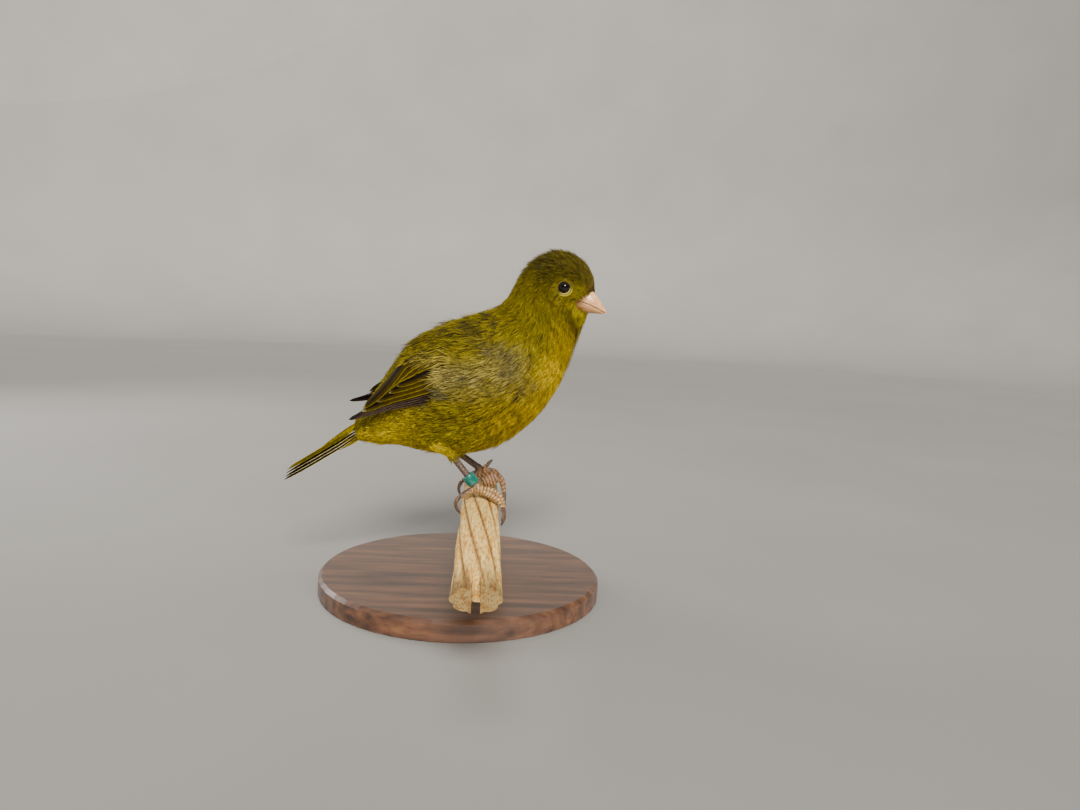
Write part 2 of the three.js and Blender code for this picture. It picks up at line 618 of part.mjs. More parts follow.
// A closed ring that hangs loosely round the shank.
function buildRing({ foot, down }) {
  const inside = shank.radius + gap;
  const profile = [[inside, 0], [ring.radius, 0.1], [ring.radius, ring.length - 0.1], [inside, ring.length], [inside, 0]];
  const geometry = new THREE.LatheGeometry(profile.map(([r, z]) => new THREE.Vector2(r, z)), 24);
  geometry.applyQuaternion(new THREE.Quaternion().setFromUnitVectors(vec(0, 1, 0), down.clone().negate()));
  return solidOf(geometry.translate(...foot.clone().addScaledVector(down, -ring.above).toArray()));
}

// The stand: a plain round base and one short rod under the perch, let into both.
function buildStand() {
  const { baseRadius: r, baseHeight: h, edge } = stand;
  const profile = [[0, 0], [r - edge / 2, 0], [r, edge / 2], [r, h - edge], [r - edge, h], [0, h]];
  const base = new THREE.LatheGeometry(profile.map(([x, y]) => new THREE.Vector2(x, y)), 48).rotateX(Math.PI / 2);
  const socket = new THREE.CylinderGeometry(stand.rodRadius + gap, stand.rodRadius + gap, 2 * stand.socket, 24);
  socket.rotateX(Math.PI / 2).translate(footing.x, 0, h);
  const low = h - stand.socket + gap;
  const high = h + stand.rodShown + stand.socket - gap;
  const rod = new THREE.CylinderGeometry(stand.rodRadius, stand.rodRadius, high - low, 24);
  rod.rotateX(Math.PI / 2).translate(footing.x, 0, (low + high) / 2);
  return { base: solidOf(base).subtract(solidOf(socket)), rod: solidOf(rod) };
}

// Materials.
const finish = (color, roughness, metalness = 0) => new THREE.MeshStandardMaterial({ color, roughness, metalness });
const finishes = {
  headPlumage: finish(0x6f6410, 0.85),
  bodyPlumage: finish(0x8d8412, 0.85),
  wingPlumage: finish(0x6a5f17, 0.75),
  bill: finish(0xdcae90, 0.45),
  eye: finish(0x080708, 0.08),
  legs: finish(0x8a6150, 0.6),
  claws: finish(0x5a463c, 0.45),
  legRing: finish(0x08806f, 0.3),
  perchWood: finish(0xe8cf94, 0.75),
  standWood: finish(0x4a3326, 0.5),
  standRod: finish(0x8c8f92, 0.35, 1),
};

const bird = new THREE.Group();
bird.position.set(footing.x, footing.y, perchTop);
const canary = new THREE.Group();
canary.add(bird);

function add(group, name, solid, material) {
  const mesh = new THREE.Mesh(geometryOf(solid), material);
  mesh.name = name;
  group.add(mesh);
}

const { head, upper, lower } = buildHead();
const legMade = Object.fromEntries(Object.entries(legs).map(([side, leg]) => [side, buildLeg(leg)]));

add(bird, 'head', head, finishes.headPlumage);
add(bird, 'neck', length(whole, cuts.neck, cuts.head), finishes.headPlumage);
add(bird, 'torso', length(whole, cuts.rump, cuts.neck), finishes.bodyPlumage);
add(bird, 'rump', length(whole, null, cuts.rump), finishes.bodyPlumage);
add(bird, 'tail', buildTail(), finishes.wingPlumage);
add(bird, 'bill_upper', upper, finishes.bill);
add(bird, 'bill_lower', lower, finishes.bill);
for (const [side, which] of Object.entries(wings)) {
  add(bird, `wing_${side}`, buildWing(which), finishes.wingPlumage);
  add(bird, `eye_${side}`, ball(eyeCentre(which.side), eye.radius, 16), finishes.eye);
}
for (const [side, { made }] of Object.entries(legMade)) {
  for (const [name, solid] of Object.entries(made)) {
    const material = { thigh: finishes.bodyPlumage, claw: finishes.claws }[name.split('_')[0]] ?? finishes.legs;
    const [part, which] = name.split('_');
    add(bird, which ? `${part}_${side}_${which}` : `${part}_${side}`, solid, material);
  }
}
add(bird, 'leg_ring', buildRing(legMade.right), finishes.legRing);
add(bird, 'perch', buildPerch(), finishes.perchWood);

const { base, rod } = buildStand();
add(canary, 'stand_base', base, finishes.standWood);
add(canary, 'stand_rod', rod, finishes.standRod);

export default canary;
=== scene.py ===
import math
import bpy
import numpy as np
from mathutils import Matrix, Vector
from mathutils.kdtree import KDTree


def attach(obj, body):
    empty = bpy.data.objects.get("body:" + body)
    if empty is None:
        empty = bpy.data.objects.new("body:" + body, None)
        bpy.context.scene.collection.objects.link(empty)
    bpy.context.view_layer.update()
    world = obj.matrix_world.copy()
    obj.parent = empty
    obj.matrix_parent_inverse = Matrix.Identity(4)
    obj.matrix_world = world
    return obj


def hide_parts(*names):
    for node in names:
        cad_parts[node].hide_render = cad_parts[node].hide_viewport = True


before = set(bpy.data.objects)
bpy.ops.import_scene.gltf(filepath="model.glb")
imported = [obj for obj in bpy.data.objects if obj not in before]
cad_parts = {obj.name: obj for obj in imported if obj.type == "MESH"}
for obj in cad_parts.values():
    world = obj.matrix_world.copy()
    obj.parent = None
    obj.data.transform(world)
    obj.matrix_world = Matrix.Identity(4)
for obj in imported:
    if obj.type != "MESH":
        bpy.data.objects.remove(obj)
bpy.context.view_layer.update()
mm = 0.001
birdPlace = np.array((5.0, 12.0, 27.6))  # top of the perch between the feet, in mm, in the frame

# Camera and light

cameraSetup = {"place": (7.45, -241.31, 84.65), "heading": 3.407, "pitch": -6.4, "roll": 2.85,
               "lens": 27.03, "sensor": 36}
lights = {
    "keyLight": {"place": (40, -470, 430), "angle": 24, "power": 6.7, "colour": (1, 0.97, 0.92)},
    "fillLight": {"place": (260, -560, 40), "angle": 60, "power": 4.6, "colour": (1, 0.98, 0.95)},
    "topLight": {"place": (-60, 160, 560), "size": 340, "power": 1.2, "colour": (0.97, 0.98, 1)},
    "backLight": {"place": (-420, 330, 300), "size": 260, "power": 1.6, "colour": (1, 1, 1)},
}
lightAim = (0, 5, 65)
room = {"floorRadius": 1500, "curve": 400, "wall": 1100, "steps": 10,
        "airColour": "#dddbd6", "airStrength": 0.5}


def linear(colour):
    values = np.array([int(colour[i:i + 2], 16) for i in (1, 3, 5)]) / 255
    return np.where(values <= 0.04045, values / 12.92, ((values + 0.055) / 1.055) ** 2.4)


def colour4(colour):
    return (*[float(v) for v in linear(colour)], 1.0)


def deselectAll():
    if bpy.context.object and bpy.context.object.mode != "OBJECT":
        bpy.ops.object.mode_set(mode="OBJECT")
    bpy.ops.object.select_all(action="DESELECT")


def addCamera():
    turn = (Matrix.Rotation(math.radians(-cameraSetup["heading"]), 4, "Z")
            @ Matrix.Rotation(math.radians(90 + cameraSetup["pitch"]), 4, "X")
            @ Matrix.Rotation(math.radians(cameraSetup["roll"]), 4, "Z"))
    data = bpy.data.cameras.new("photoCamera")
    data.lens = cameraSetup["lens"]
    data.sensor_width = cameraSetup["sensor"]
    data.clip_start = 0.01
    camera = bpy.data.objects.new("photoCamera", data)
    camera.matrix_world = Matrix.Translation(Vector(cameraSetup["place"]) * mm) @ turn
    bpy.context.scene.collection.objects.link(camera)
    bpy.context.scene.camera = camera


def addLights():
    # Two wide suns in front of the bird, a round lamp above it and one behind it
    for name, light in lights.items():
        data = bpy.data.lights.new(name, "SUN" if "angle" in light else "AREA")
        if "angle" in light:
            data.angle = math.radians(light["angle"])
        else:
            data.shape = "DISK"
            data.size = light["size"] * mm
        data.energy = light["power"]
        data.color = light["colour"]
        lamp = bpy.data.objects.new(name, data)
        lamp.visible_camera = False
        lamp.location = Vector(light["place"]) * mm
        lamp.rotation_euler = (Vector(lightAim) * mm - lamp.location).to_track_quat("-Z", "Y").to_euler()
        bpy.context.scene.collection.objects.link(lamp)
    world = bpy.context.scene.world or bpy.data.worlds.new("studioAir")
    bpy.context.scene.world = world
    world.use_nodes = True
    background = world.node_tree.nodes["Background"]
    background.inputs["Color"].default_value = colour4(room["airColour"])
    background.inputs["Strength"].default_value = room["airStrength"]


# Materials

def node(tree, kind, **values):
    # A shader node with its settings and its unlinked sockets filled in
    made = tree.nodes.new(kind)
    for key, value in values.items():
        if hasattr(made, key):
            setattr(made, key, value)
        else:
            made.inputs[key.replace("_", " ")].default_value = value
    return made


def objectNoise(tree, scale, detail=4, stretch=(1, 1, 1), roughness=0.55):
    place = node(tree, "ShaderNodeTexCoord")
    mapping = node(tree, "ShaderNodeMapping", Scale=stretch)
    noise = node(tree, "ShaderNodeTexNoise", Scale=scale, Detail=detail, Roughness=roughness)
    tree.links.new(place.outputs["Object"], mapping.inputs["Vector"])
    tree.links.new(mapping.outputs["Vector"], noise.inputs["Vector"])
    return noise.outputs["Fac"]


def ramp(tree, source, stops):
    made = node(tree, "ShaderNodeValToRGB")
    made.color_ramp.elements.remove(made.color_ramp.elements[1])
    made.color_ramp.elements[0].position = stops[0][0]
    made.color_ramp.elements[0].color = colour4(stops[0][1])
    for place, colour in stops[1:]:
        made.color_ramp.elements.new(place).color = colour4(colour)
    tree.links.new(source, made.inputs["Fac"])
    return made.outputs["Color"]


def multiply(tree, first, second):
    # The Mix node has its factor at 0, its colours at 6 and 7 and the mixed colour at 2
    made = node(tree, "ShaderNodeMix", data_type="RGBA", blend_type="MULTIPLY")
    made.inputs[0].default_value = 1
    tree.links.new(first, made.inputs[6])
    tree.links.new(second, made.inputs[7])
    return made.outputs[2]


def newMaterial(name, roughness, layers, tone=None, bump=None, **sockets):
    # Each layer is a pattern and its colours. The layers and the mesh's own colours are multiplied,
    # and the first pattern makes the bump, with its strength and its height in mm.
    material = bpy.data.materials.new(name)
    material.use_nodes = True
    tree = material.node_tree
    shader = tree.nodes["Principled BSDF"]
    for socket, value in (sockets | {"Roughness": roughness}).items():
        shader.inputs[socket.replace("_", " ")].default_value = value
    colour = node(tree, "ShaderNodeAttribute", attribute_name=tone).outputs["Color"] if tone else None
    patterns = [make(tree) if callable(make) else objectNoise(tree, *make) for make, _ in layers]
    for pattern, (_, stops) in zip(patterns, layers):
        shade = ramp(tree, pattern, stops)
        colour = shade if colour is None else multiply(tree, colour, shade)
    tree.links.new(colour, shader.inputs["Base Color"])
    if bump:
        made = node(tree, "ShaderNodeBump", Strength=bump[0], Distance=bump[1] * mm)
        tree.links.new(patterns[0], made.inputs["Height"])
        tree.links.new(made.outputs["Normal"], shader.inputs["Normal"])
    return material


def vaneLines(tree):
    # Barb lines run slantwise from the shaft, along the vane's own map
    place = node(tree, "ShaderNodeUVMap", uv_map="barbs")
    lines = node(tree, "ShaderNodeTexWave", wave_type="BANDS", bands_direction="Y", Scale=5.5,
                 Distortion=1.4, Detail=2, Detail_Scale=2.0)
    tree.links.new(place.outputs["UV"], lines.inputs["Vector"])
    return lines.outputs["Fac"]


# The colour of every barb is in the mesh. The materials add fine unevenness and a soft sheen.
plumageLayers = [((1800, 3), [(0.3, "#d4d0c8"), (0.62, "#ffffff")])]
plumage = newMaterial("plumage", 0.75, plumageLayers, "plumage", (0.35, 0.08),
                      Sheen_Weight=0.02, Sheen_Roughness=0.5, Specular_IOR_Level=0.08)
vaneLayers = [(vaneLines, [(0.15, "#dcd8d0"), (0.6, "#ffffff")]),
              ((900, 3), [(0.3, "#d8d4cc"), (0.62, "#ffffff")])]
vane = newMaterial("vane", 0.7, vaneLayers, "plumage", (0.5, 0.06), Specular_IOR_Level=0.05)


# The bird's form: slices from the root of the tail to the root of the bill, in mm from the perch's top.
# Each has a point on the back, a point on the underside, its half width and how low its widest line sits.

bodyForm = {
    "backX": (-39.5, -35.4, -31.4, -26.4, -19.4, -10.8, -3.2, 2.2, 5.6, 8, 11, 15.8, 22, 28.2, 31.9, 32.8),
    "backZ": (21.8, 27.6, 34.6, 42.2, 48.8, 53.2, 56, 58.2, 61.2, 65.4, 70.3, 74.5, 76.3, 73.9, 69.4, 65.4),
    "underX": (-38.2, -32.5, -25.5, -17, -6, 5.5, 15.6, 22.8, 26.4, 27.8, 29.4, 30.4, 30.8, 31.2, 31.6, 32),
    "underZ": (15.4, 14.4, 14.4, 12.8, 12.6, 16, 24.2, 35, 44.6, 50.2, 54.3, 56.5, 57.3, 57.7, 58.3, 59.6),
    "half": (4.6, 7.6, 11.4, 14.6, 16.8, 17.8, 17.6, 16, 13.2, 11, 9.7, 9.1, 8.4, 6.6, 4.5, 2.6),
    "low": (0, 0, 0, 0.05, 0.08, 0.1, 0.1, 0.08, 0.05, 0.02, 0, 0, -0.05, -0.2, -0.2, 0),
}
headTurn = {"angle": 20, "pivotX": 13, "from": 7, "to": 11}  # to the bird's right, between two stations
billEnd = len(bodyForm["half"]) - 1


def smooth(x, low, high):
    f = np.clip((np.asarray(x, float) - low) / (high - low), 0, 1)
    return f * f * (3 - 2 * f)


def within(x, rise, full, fade=900, gone=901):
    # 1 from full to fade, and smoothly down to 0 at rise and at gone
    return smooth(x, rise, full) * (1 - smooth(x, fade, gone))


def along(values, t):
    # The value at place t of a smooth curve through evenly spaced values
    values = np.asarray(values, float)
    last = len(values) - 1
    k = np.clip(np.floor(t).astype(int), 0, last - 1)
    f = t - k
    a, b, c, d = (values[np.clip(k + i, 0, last)] for i in (-1, 0, 1, 2))
    return b + 0.5 * f * (c - a + f * (2 * a - 5 * b + 4 * c - d + f * (3 * (b - c) + d - a)))


def bodySkin(t, degrees, grow=0):
    # Places on the body: t runs to the bill, degrees run from the back over the left side to the underside
    t = np.clip(t, -1.2, billEnd)
    a = math.radians(headTurn["angle"]) * smooth(t, headTurn["from"], headTurn["to"])
    pivot = headTurn["pivotX"]

    def middle(line):
        dx = along(bodyForm[line + "X"], t) - pivot
        return np.stack((pivot + dx * np.cos(a), -dx * np.sin(a), along(bodyForm[line + "Z"], t)), -1)
    back, under = middle("back"), middle("under")
    left = np.stack((np.sin(a), np.cos(a), 0 * a), -1)
    tall = np.linalg.norm(back - under, axis=-1) / 2
    up = (back - under) / (2 * tall[..., None])
    c, s = np.cos(np.radians(degrees)), np.sin(np.radians(degrees))
    wide = (along(bodyForm["half"], t) + grow) * s * (1 - along(bodyForm["low"], t) * c)
    return (back + under) / 2 + up * ((tall + grow) * c)[..., None] + left * wide[..., None]


# The folded wing: a curved sheet on the side of the body. Its lines run from the shoulder to the tip.

wingForm = {
    "stations": (7.1, 5.9, 4.7, 3.5, 2.4),
    "lower": {"degrees": (80, 88, 94, 96, 96), "out": (-1.8, -1.6, -0.9, 0.7, 1.5), "shift": -0.7},
    "middle": {"degrees": (56, 60, 61, 60, 56), "out": (-0.4, 0.7, 1.5, 2.2, 2.4), "shift": 0},
    "upper": {"degrees": (32, 25, 19, 19, 18), "out": (0, 0.7, 1.2, 1.5, 1.8), "shift": 0.8},
}
wings = {
    "right": {"side": -1, "tip": (-40.4, 9.2, 23.2), "drop": 0},
    "left": {"side": 1, "tip": (-43.2, 8, 26.9), "drop": 5},
}


def makeSheet(side, tip, drop):
    stations = np.array(wingForm["stations"])
    last = len(stations)
    lines = []
    for line in ("lower", "middle", "upper"):
        form = wingForm[line]
        lowered = np.array(form["degrees"]) - drop * smooth(np.arange(last), 1, 4)
        points = bodySkin(stations, side * lowered, np.array(form["out"]))
        lines.append(np.vstack((points, (tip[0], side * tip[1], tip[2] + form["shift"]))))

    def at(s, c):
        a, b, d = (np.stack([along(line[:, k], s * last) for k in range(3)], -1) for line in lines)
        c = np.asarray(c)[..., None]
        return a * c * (c - 1) / 2 + b * (1 - c * c) + d * c * (c + 1) / 2

    def wingSkin(u, v, grow=0):
        # u runs to the shoulder and v round the body as on the body itself
        s, c, e = -u, -side * v, 0.01
        back = at(s + e, c) - at(s - e, c)
        across = at(s, c + e) - at(s, c - e)
        out = np.cross(back, across) * side
        out /= np.linalg.norm(out, axis=-1, keepdims=True)
        return at(s, c) + out * np.asarray(grow)[..., None]
    return wingSkin


def metric(place, u, v):
    # Millimetres for each unit of u and of v
    e = 0.01
    perU = np.linalg.norm(place(u + e, v) - place(u - e, v), axis=-1) / (2 * e)
    perV = np.linalg.norm(place(u, v + e) - place(u, v - e), axis=-1) / (2 * e)
    return np.maximum(perU, 0.5), np.maximum(perV, 0.02)


# Meshes from arrays

def paint(piece, name, colours):
    layer = piece.data.color_attributes.new(name, "FLOAT_COLOR", "POINT")
    rgba = np.hstack((np.clip(colours, 0, 1), np.ones((len(colours), 1))))
    layer.data.foreach_set("color", rgba.astype(np.float32).ravel())


def finishPiece(piece, material, slot, *replaced, rounded=True):
    mesh = piece.data
    mesh.materials.clear()
    mesh.materials.append(material)
    if rounded:
        mesh.polygons.foreach_set("use_smooth", np.ones(len(mesh.polygons), bool))
    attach(piece, "root")
    if replaced:
        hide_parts(*replaced)
    print("made", piece.name, len(mesh.polygons), "faces")


def pieceFromArrays(name, arrays, material, slot, *replaced):
    # The arrays are places, triangles, colours, the bake map and, for vanes, the map of their barbs
    points, faces, tones, *maps = arrays
    mesh = bpy.data.meshes.new(name)
    mesh.vertices.add(len(points))
    mesh.vertices.foreach_set("co", ((points + birdPlace) * mm).astype(np.float32).ravel())
    corners = faces.astype(np.int32).ravel()
    mesh.loops.add(len(corners))
    mesh.loops.foreach_set("vertex_index", corners)
    mesh.polygons.add(len(faces))
    mesh.polygons.foreach_set("loop_start", np.arange(0, len(corners), 3, dtype=np.int32))
    mesh.update(calc_edges=True)
    for title, places in zip(("OFBake", "barbs"), maps):
        layer = mesh.uv_layers.new(name=title)
        layer.data.foreach_set("uv", places[corners].astype(np.float32).ravel())
    piece = bpy.data.objects.new(name, mesh)
    bpy.context.scene.collection.objects.link(piece)
    paint(piece, "plumage", tones)
    finishPiece(piece, material, slot, *replaced)


def treeOf(points):
    tree = KDTree(len(points))
    for i, point in enumerate(points):
        tree.insert(point, i)
    tree.balance()
    return tree


def scatter(place, count, uRange, vRange, spacing, seed, keep=None):
    # Evenly spread roots, no nearer to each other than the spacing wanted at their place
    draw = np.random.default_rng(seed)
    u = draw.uniform(*uRange, count)
    v = draw.uniform(*vRange, count)
    perU, perV = metric(place, u, v)
    gaps = spacing(u) if callable(spacing) else np.full_like(u, spacing)
    chance = perU * perV / gaps ** 2
    chosen = draw.uniform(0, 1, count) < np.minimum(chance / np.quantile(chance, 0.9), 1)
    if keep:
        chosen &= keep(u, v)
    u, v, gaps = u[chosen], v[chosen], gaps[chosen]
    points = place(u, v)
    tree = treeOf(points)
    free = np.ones(len(u), bool)
    taken = []
    for i, point in enumerate(points):
        if free[i]:
            taken.append(i)
            for _, j, _ in tree.find_range(point, float(gaps[i])):
                free[j] = False
    return u[taken], v[taken]


# Tufts: each is one small feather, made of thin closed barbs that fan out from its root and lie back

plumageColours = {
    "gold": "#c2a400", "lemon": "#a89800", "sun": "#d0b600", "olive": "#786900", "moss": "#4f4200",
    "umber": "#0f0a02", "smoke": "#686142", "tan": "#e4cf70", "rust": "#7a5200", "cream": "#c2b27a",
    "down": "#1c1702", "ink": "#0c0805", "quill": "#1f1510", "blush": "#a38a72", "oliveEdge": "#706302",
    "paleTip": "#b3a262", "bronze": "#352900", "strawLine": "#d0c38a", "mustard": "#918100",
}
plumageColours = {name: linear(colour) for name, colour in plumageColours.items()}
bakePatch = 0.003  # the height of a feather's own small patch in the bake map


def mix(a, b, share):
    return a + (b - a) * np.asarray(share)[..., None]


def unevenness(points, size, seed, waves=7):
    # A smooth random field between about -1 and 1, with features of this size in mm
    draw = np.random.default_rng(seed)
    total = 0
    for _ in range(waves):
        direction = draw.normal(size=3)
        direction *= 2 * math.pi / size / np.linalg.norm(direction) * draw.uniform(0.5, 1.3)
        total = total + np.sin(points @ direction + draw.uniform(0, 2 * math.pi))
    return total / waves * 1.6


# Each zone of the coat: where it rises and fades along the body, and in degrees down from the back.
# A rise from -9 to -8 lies before every place, so that such a zone is full from the start.
coatZones = {
    "neck": ((7.2, 8.6, 11.2, 12.2), (-9, -8)),
    "breast": ((4.2, 5.8, 9.2, 10.6), (92, 136)),
    "belly": ((-9, -8, 4, 5.6), (100, 136)),
    "vent": ((-9, -8, 2.8, 4.2), (80, 112)),
    "rump": ((-9, -8, 1.8, 3.2), (-9, -8, 40, 75)),
    "crown": ((9.8, 11.2), (-9, -8, 66, 94)),
    "cheek": ((9.4, 10.8), (84, 104, 128, 150)),
    "throat": ((9.2, 10.6), (120, 150)),
    "flank": ((2.6, 3.8, 6.4, 7.6), (62, 84, 94, 116)),
    "mantle": ((1.6, 3, 7.4, 8.8), (-9, -8, 48, 76)),
    "lowFlank": ((2.6, 3.6, 6, 7.2), (98, 112, 146, 162)),
    "looseFlank": ((2.4, 3.6, 6.4, 7.6), (66, 84, 112, 135)),
    "crest": ((9, 10.4, 13.8, 14.8), (-9, -8, 62, 92)),
    "chin": ((10.4, 12.6, 13.8, 14.8), (128, 164)),
}
coatWashes = (("neck", "lemon", 0.3), ("breast", "gold", 0.85), ("belly", "lemon", 0.9),
              ("lowBelly", "sun", 0.85), ("vent", "sun", 0.95), ("rump", "lemon", 0.4),
              ("crown", "moss", 0.62), ("cheek", "lemon", 0.15))
coatStreaks = {"mantle": 0.85, "crown": 0.6, "throat": 0.25, "lowFlank": 0.85, "flank": 0.3, "vent": -0.6}
tanPatches = [((-13, -18, 40.5), (7, 6, 3.5)), ((-13, 18, 40.5), (7, 6, 3.5))]
smokyPatches = [((7, -16, 47.5), (6, 5, 2.8)), ((10, -15, 42.5), (4.5, 5, 2.2)),
                ((-3, -18, 38.5), (8, 5, 2.4)), ((-12, -16, 33), (8, 6, 2.2)),
                ((14, -13.5, 38), (5, 6, 2.4)), ((5, 16.5, 46), (6, 5, 3)), ((-8, 17, 35), (8, 6, 2.4))]
rustPatches = [((29.6, -7.2, 64.2), (2.4, 3, 1.8)), ((31.5, -2.5, 64.2), (1.4, 3, 1.6))]


def spots(points, patches):
    return sum(np.exp(-(((points - centre) / size) ** 2).sum(-1)) for centre, size in patches)


def coatShares(t, g):
    share = {name: within(t, *span) * within(g, *sweep) for name, (span, sweep) in coatZones.items()}
    share["lowBelly"] = share["belly"] * smooth(g, 124, 150)
    return share


def markings(share, points):
    # The tip and root colours of the coat in these zones and at these places, and how streaked it is
    c = plumageColours
    fine = unevenness(points, 3.2, 4)
    tip = mix(c["olive"], c["lemon"], 0.28 + 0.14 * unevenness(points, 9, 3))
    for name, colour, strength in coatWashes:
        tip = mix(tip, c[colour], strength * share[name])
    tip = mix(tip, c["sun"], share["throat"] * np.clip(0.2 + 0.5 * fine, 0, 1))
    pale = share["flank"] * (0.22 + 0.3 * fine) * smooth(points[..., 2], 30, 37)
    tip = mix(tip, c["tan"], np.clip(pale + 0.75 * spots(points, tanPatches), 0, 0.85))
    smoky = spots(points, smokyPatches) * (0.75 + 0.7 * unevenness(points, 2.6, 5))
    tip = mix(tip, c["smoke"], np.clip(smoky, 0, 0.95))
    tip = mix(tip, c["rust"], 0.65 * np.clip(spots(points, rustPatches), 0, 1))
    tip = mix(tip, c["moss"], 0.1 * share["lowFlank"])
    root = mix(mix(tip, c["down"], 0.75), c["umber"], 0.35)
    root = mix(root, tip, 0.45 * share["throat"])
    streak = sum((strength * share[name] for name, strength in coatStreaks.items()), 0.1)
    return tip, root, np.clip(streak, 0, 1)


def growTufts(place, u, v, style, look):
    # Each array has a row for each tuft, then its barbs, a barb's bends and its section's corners
    count = len(u)
    barbs, bends = style["barbs"], np.array(style["bends"])
    rows = len(bends) - 1
    draw = np.random.default_rng(style["seed"])
    perU, perV = (m[:, None, None, None] for m in metric(place, u, v))
    each = {key: values[:, None, None] for key, values in look.items()}
    shape = (count, barbs, 1)
    q = np.linspace(-1, 1, barbs)[:, None] + draw.normal(0, 0.4 / barbs, shape)
    far = each["length"] * (1 - style["round"] * q ** 2) * draw.uniform(0.82, 1.1, shape) * bends
    fan = q * each["width"] / 2 * (0.25 + 0.75 * bends ** 0.6)
    curl = each["curl"] + draw.normal(0, style["loose"], shape)
    aside = fan + curl * far * bends
    lift = each["lift"] * draw.uniform(0.6, 1.4, shape) - style["sag"] * q ** 2
    height = -each["depth"] * (1 - bends) ** 1.3 + lift * bends ** 1.4
    taper = np.interp(bends, (0, 0.5, 1), (0.8, 1, 0.08))
    half = np.broadcast_to(style["barbWidth"] / 2 * taper * each["thick"], far.shape)
    section, peak = np.array((-1, 0, 1)), np.array((0, 0.7, 0))
    far4 = far[..., None] + 0 * section
    aside4 = aside[..., None] + half[..., None] * section
    high4 = height[..., None] + half[..., None] * peak
    swirl = each["swirl"][..., None]
    back = far4 * np.cos(swirl) - aside4 * np.sin(swirl)
    over = far4 * np.sin(swirl) + aside4 * np.cos(swirl)
    points = place(u[:, None, None, None] - back / perU, v[:, None, None, None] + over / perV, high4)
    ringPoints = points[:, :, :rows].reshape(count, barbs, rows * 3, 3)
    tips = points[:, :, rows, 1][:, :, None]
    points = np.concatenate((ringPoints, tips), 2).reshape(-1, 3)

    size = rows * 3 + 1
    template = [(2, 1, 0)] + ringFaces(rows - 1, 3)
    template += [((rows - 1) * 3 + k, (rows - 1) * 3 + (k + 1) % 3, rows * 3) for k in range(3)]
    faces = np.array(template)[None] + (np.arange(count * barbs) * size)[:, None, None]

    def atCorners(values):
        # Three corners at each bend and one at the tip
        return np.concatenate((np.repeat(values[..., :rows], 3, -1), values[..., rows:]), -1)
    shade = atCorners(bends)[None, None, :]
    light = 1 + draw.normal(0, 0.17, shape) + each["shade"]
    tones = mix(each["root"], each["tip"], smooth(shade, 0.15, 0.85))
    dark = each["streak"] * np.exp(-(q / style["streakWidth"]) ** 2)
    dark = dark * (1 - style["paleTip"] * smooth(shade, 0.85, 1))
    tones = mix(tones, plumageColours["umber"], dark)
    tones = (tones * light[..., None]).reshape(-1, 3)

    across = np.clip(atCorners(aside / each["width"]), -0.5, 0.5)
    patchU = each["mapU"] + bakePatch * across
    patchV = each["mapV"] + bakePatch * (0.5 - shade) + 0 * across
    patches = np.stack((patchU, patchV), -1).reshape(-1, 2)
    return points, faces.reshape(-1, 3), tones, patches


def ringFaces(rows, ring):
    # Two triangles between every two neighbours on each ring and the same two on the next
    faces = []
    for i in range(rows):
        for k in range(ring):
            a, b = i * ring + k, i * ring + (k + 1) % ring
            faces += [(a, b, b + ring), (a, b + ring, a + ring)]
    return faces


def joinParts(parts):
    starts = np.cumsum([0] + [len(part[0]) for part in parts])
    joined = [np.concatenate(arrays) for arrays in zip(*parts)]
    joined[1] = np.concatenate([part[1] + start for part, start in zip(parts, starts)])
    return joined


# Body coat

eyeForm = {"station": 11.6, "degrees": 99, "sunk": 1.3, "radius": 2.15, "clear": 2.55, "bulge": 0.12,
           "bulgeFrom": 0.8, "pupil": (0.78, 0.86), "iris": ("#160b05", "#030303")}
faceEdge = {"z": (54, 57.8, 59.4, 61.4, 63.6, 65.6), "x": (31.6, 31.4, 28.9, 28.7, 31.9, 33)}
coatForm = {
    "stations": (0, 1.5, 3, 5, 6.5, 7.5, 8.5, 9.5, 10.5, 11.5, 12.5, 13.5, 15),
    "length": (6.5, 7.2, 7.4, 7, 6.2, 5.2, 4.2, 3.5, 3.0, 2.6, 2.3, 2.0, 1.5),
    "depth": (1.0, 1.1, 1.2, 1.2, 1.1, 1.0, 0.9, 0.8, 0.7, 0.6, 0.5, 0.45, 0.4),
    "spacing": (1.15, 1.25, 1.25, 1.2, 1.1, 0.98, 0.84, 0.72, 0.63, 0.56, 0.52, 0.48, 0.42),
}


def coatLine(name, t):
    return np.interp(t, coatForm["stations"], coatForm[name])


def eyeSpots():
    sides = np.array((-1.0, 1.0))
    station = np.full(2, eyeForm["station"])
    centre = bodySkin(station, sides * eyeForm["degrees"], np.full(2, -eyeForm["sunk"]))
    outer = bodySkin(station, sides * eyeForm["degrees"], np.full(2, 1.0))
    axis = outer - centre
    return centre, axis / np.linalg.norm(axis, axis=1, keepdims=True)


def onFace(points):
    # The head's upright plane, turned back: its x and z
    a = -math.radians(headTurn["angle"])
    dx = points[..., 0] - headTurn["pivotX"]
    return headTurn["pivotX"] + dx * math.cos(a) + points[..., 1] * math.sin(a), points[..., 2]


def aheadOfFace(points):
    # How far in front of the edge of the face's feathers, in mm
    x, z = onFace(points)
    return np.where(z < faceEdge["z"][-1], x - np.interp(z, faceEdge["z"], faceEdge["x"]), -5)


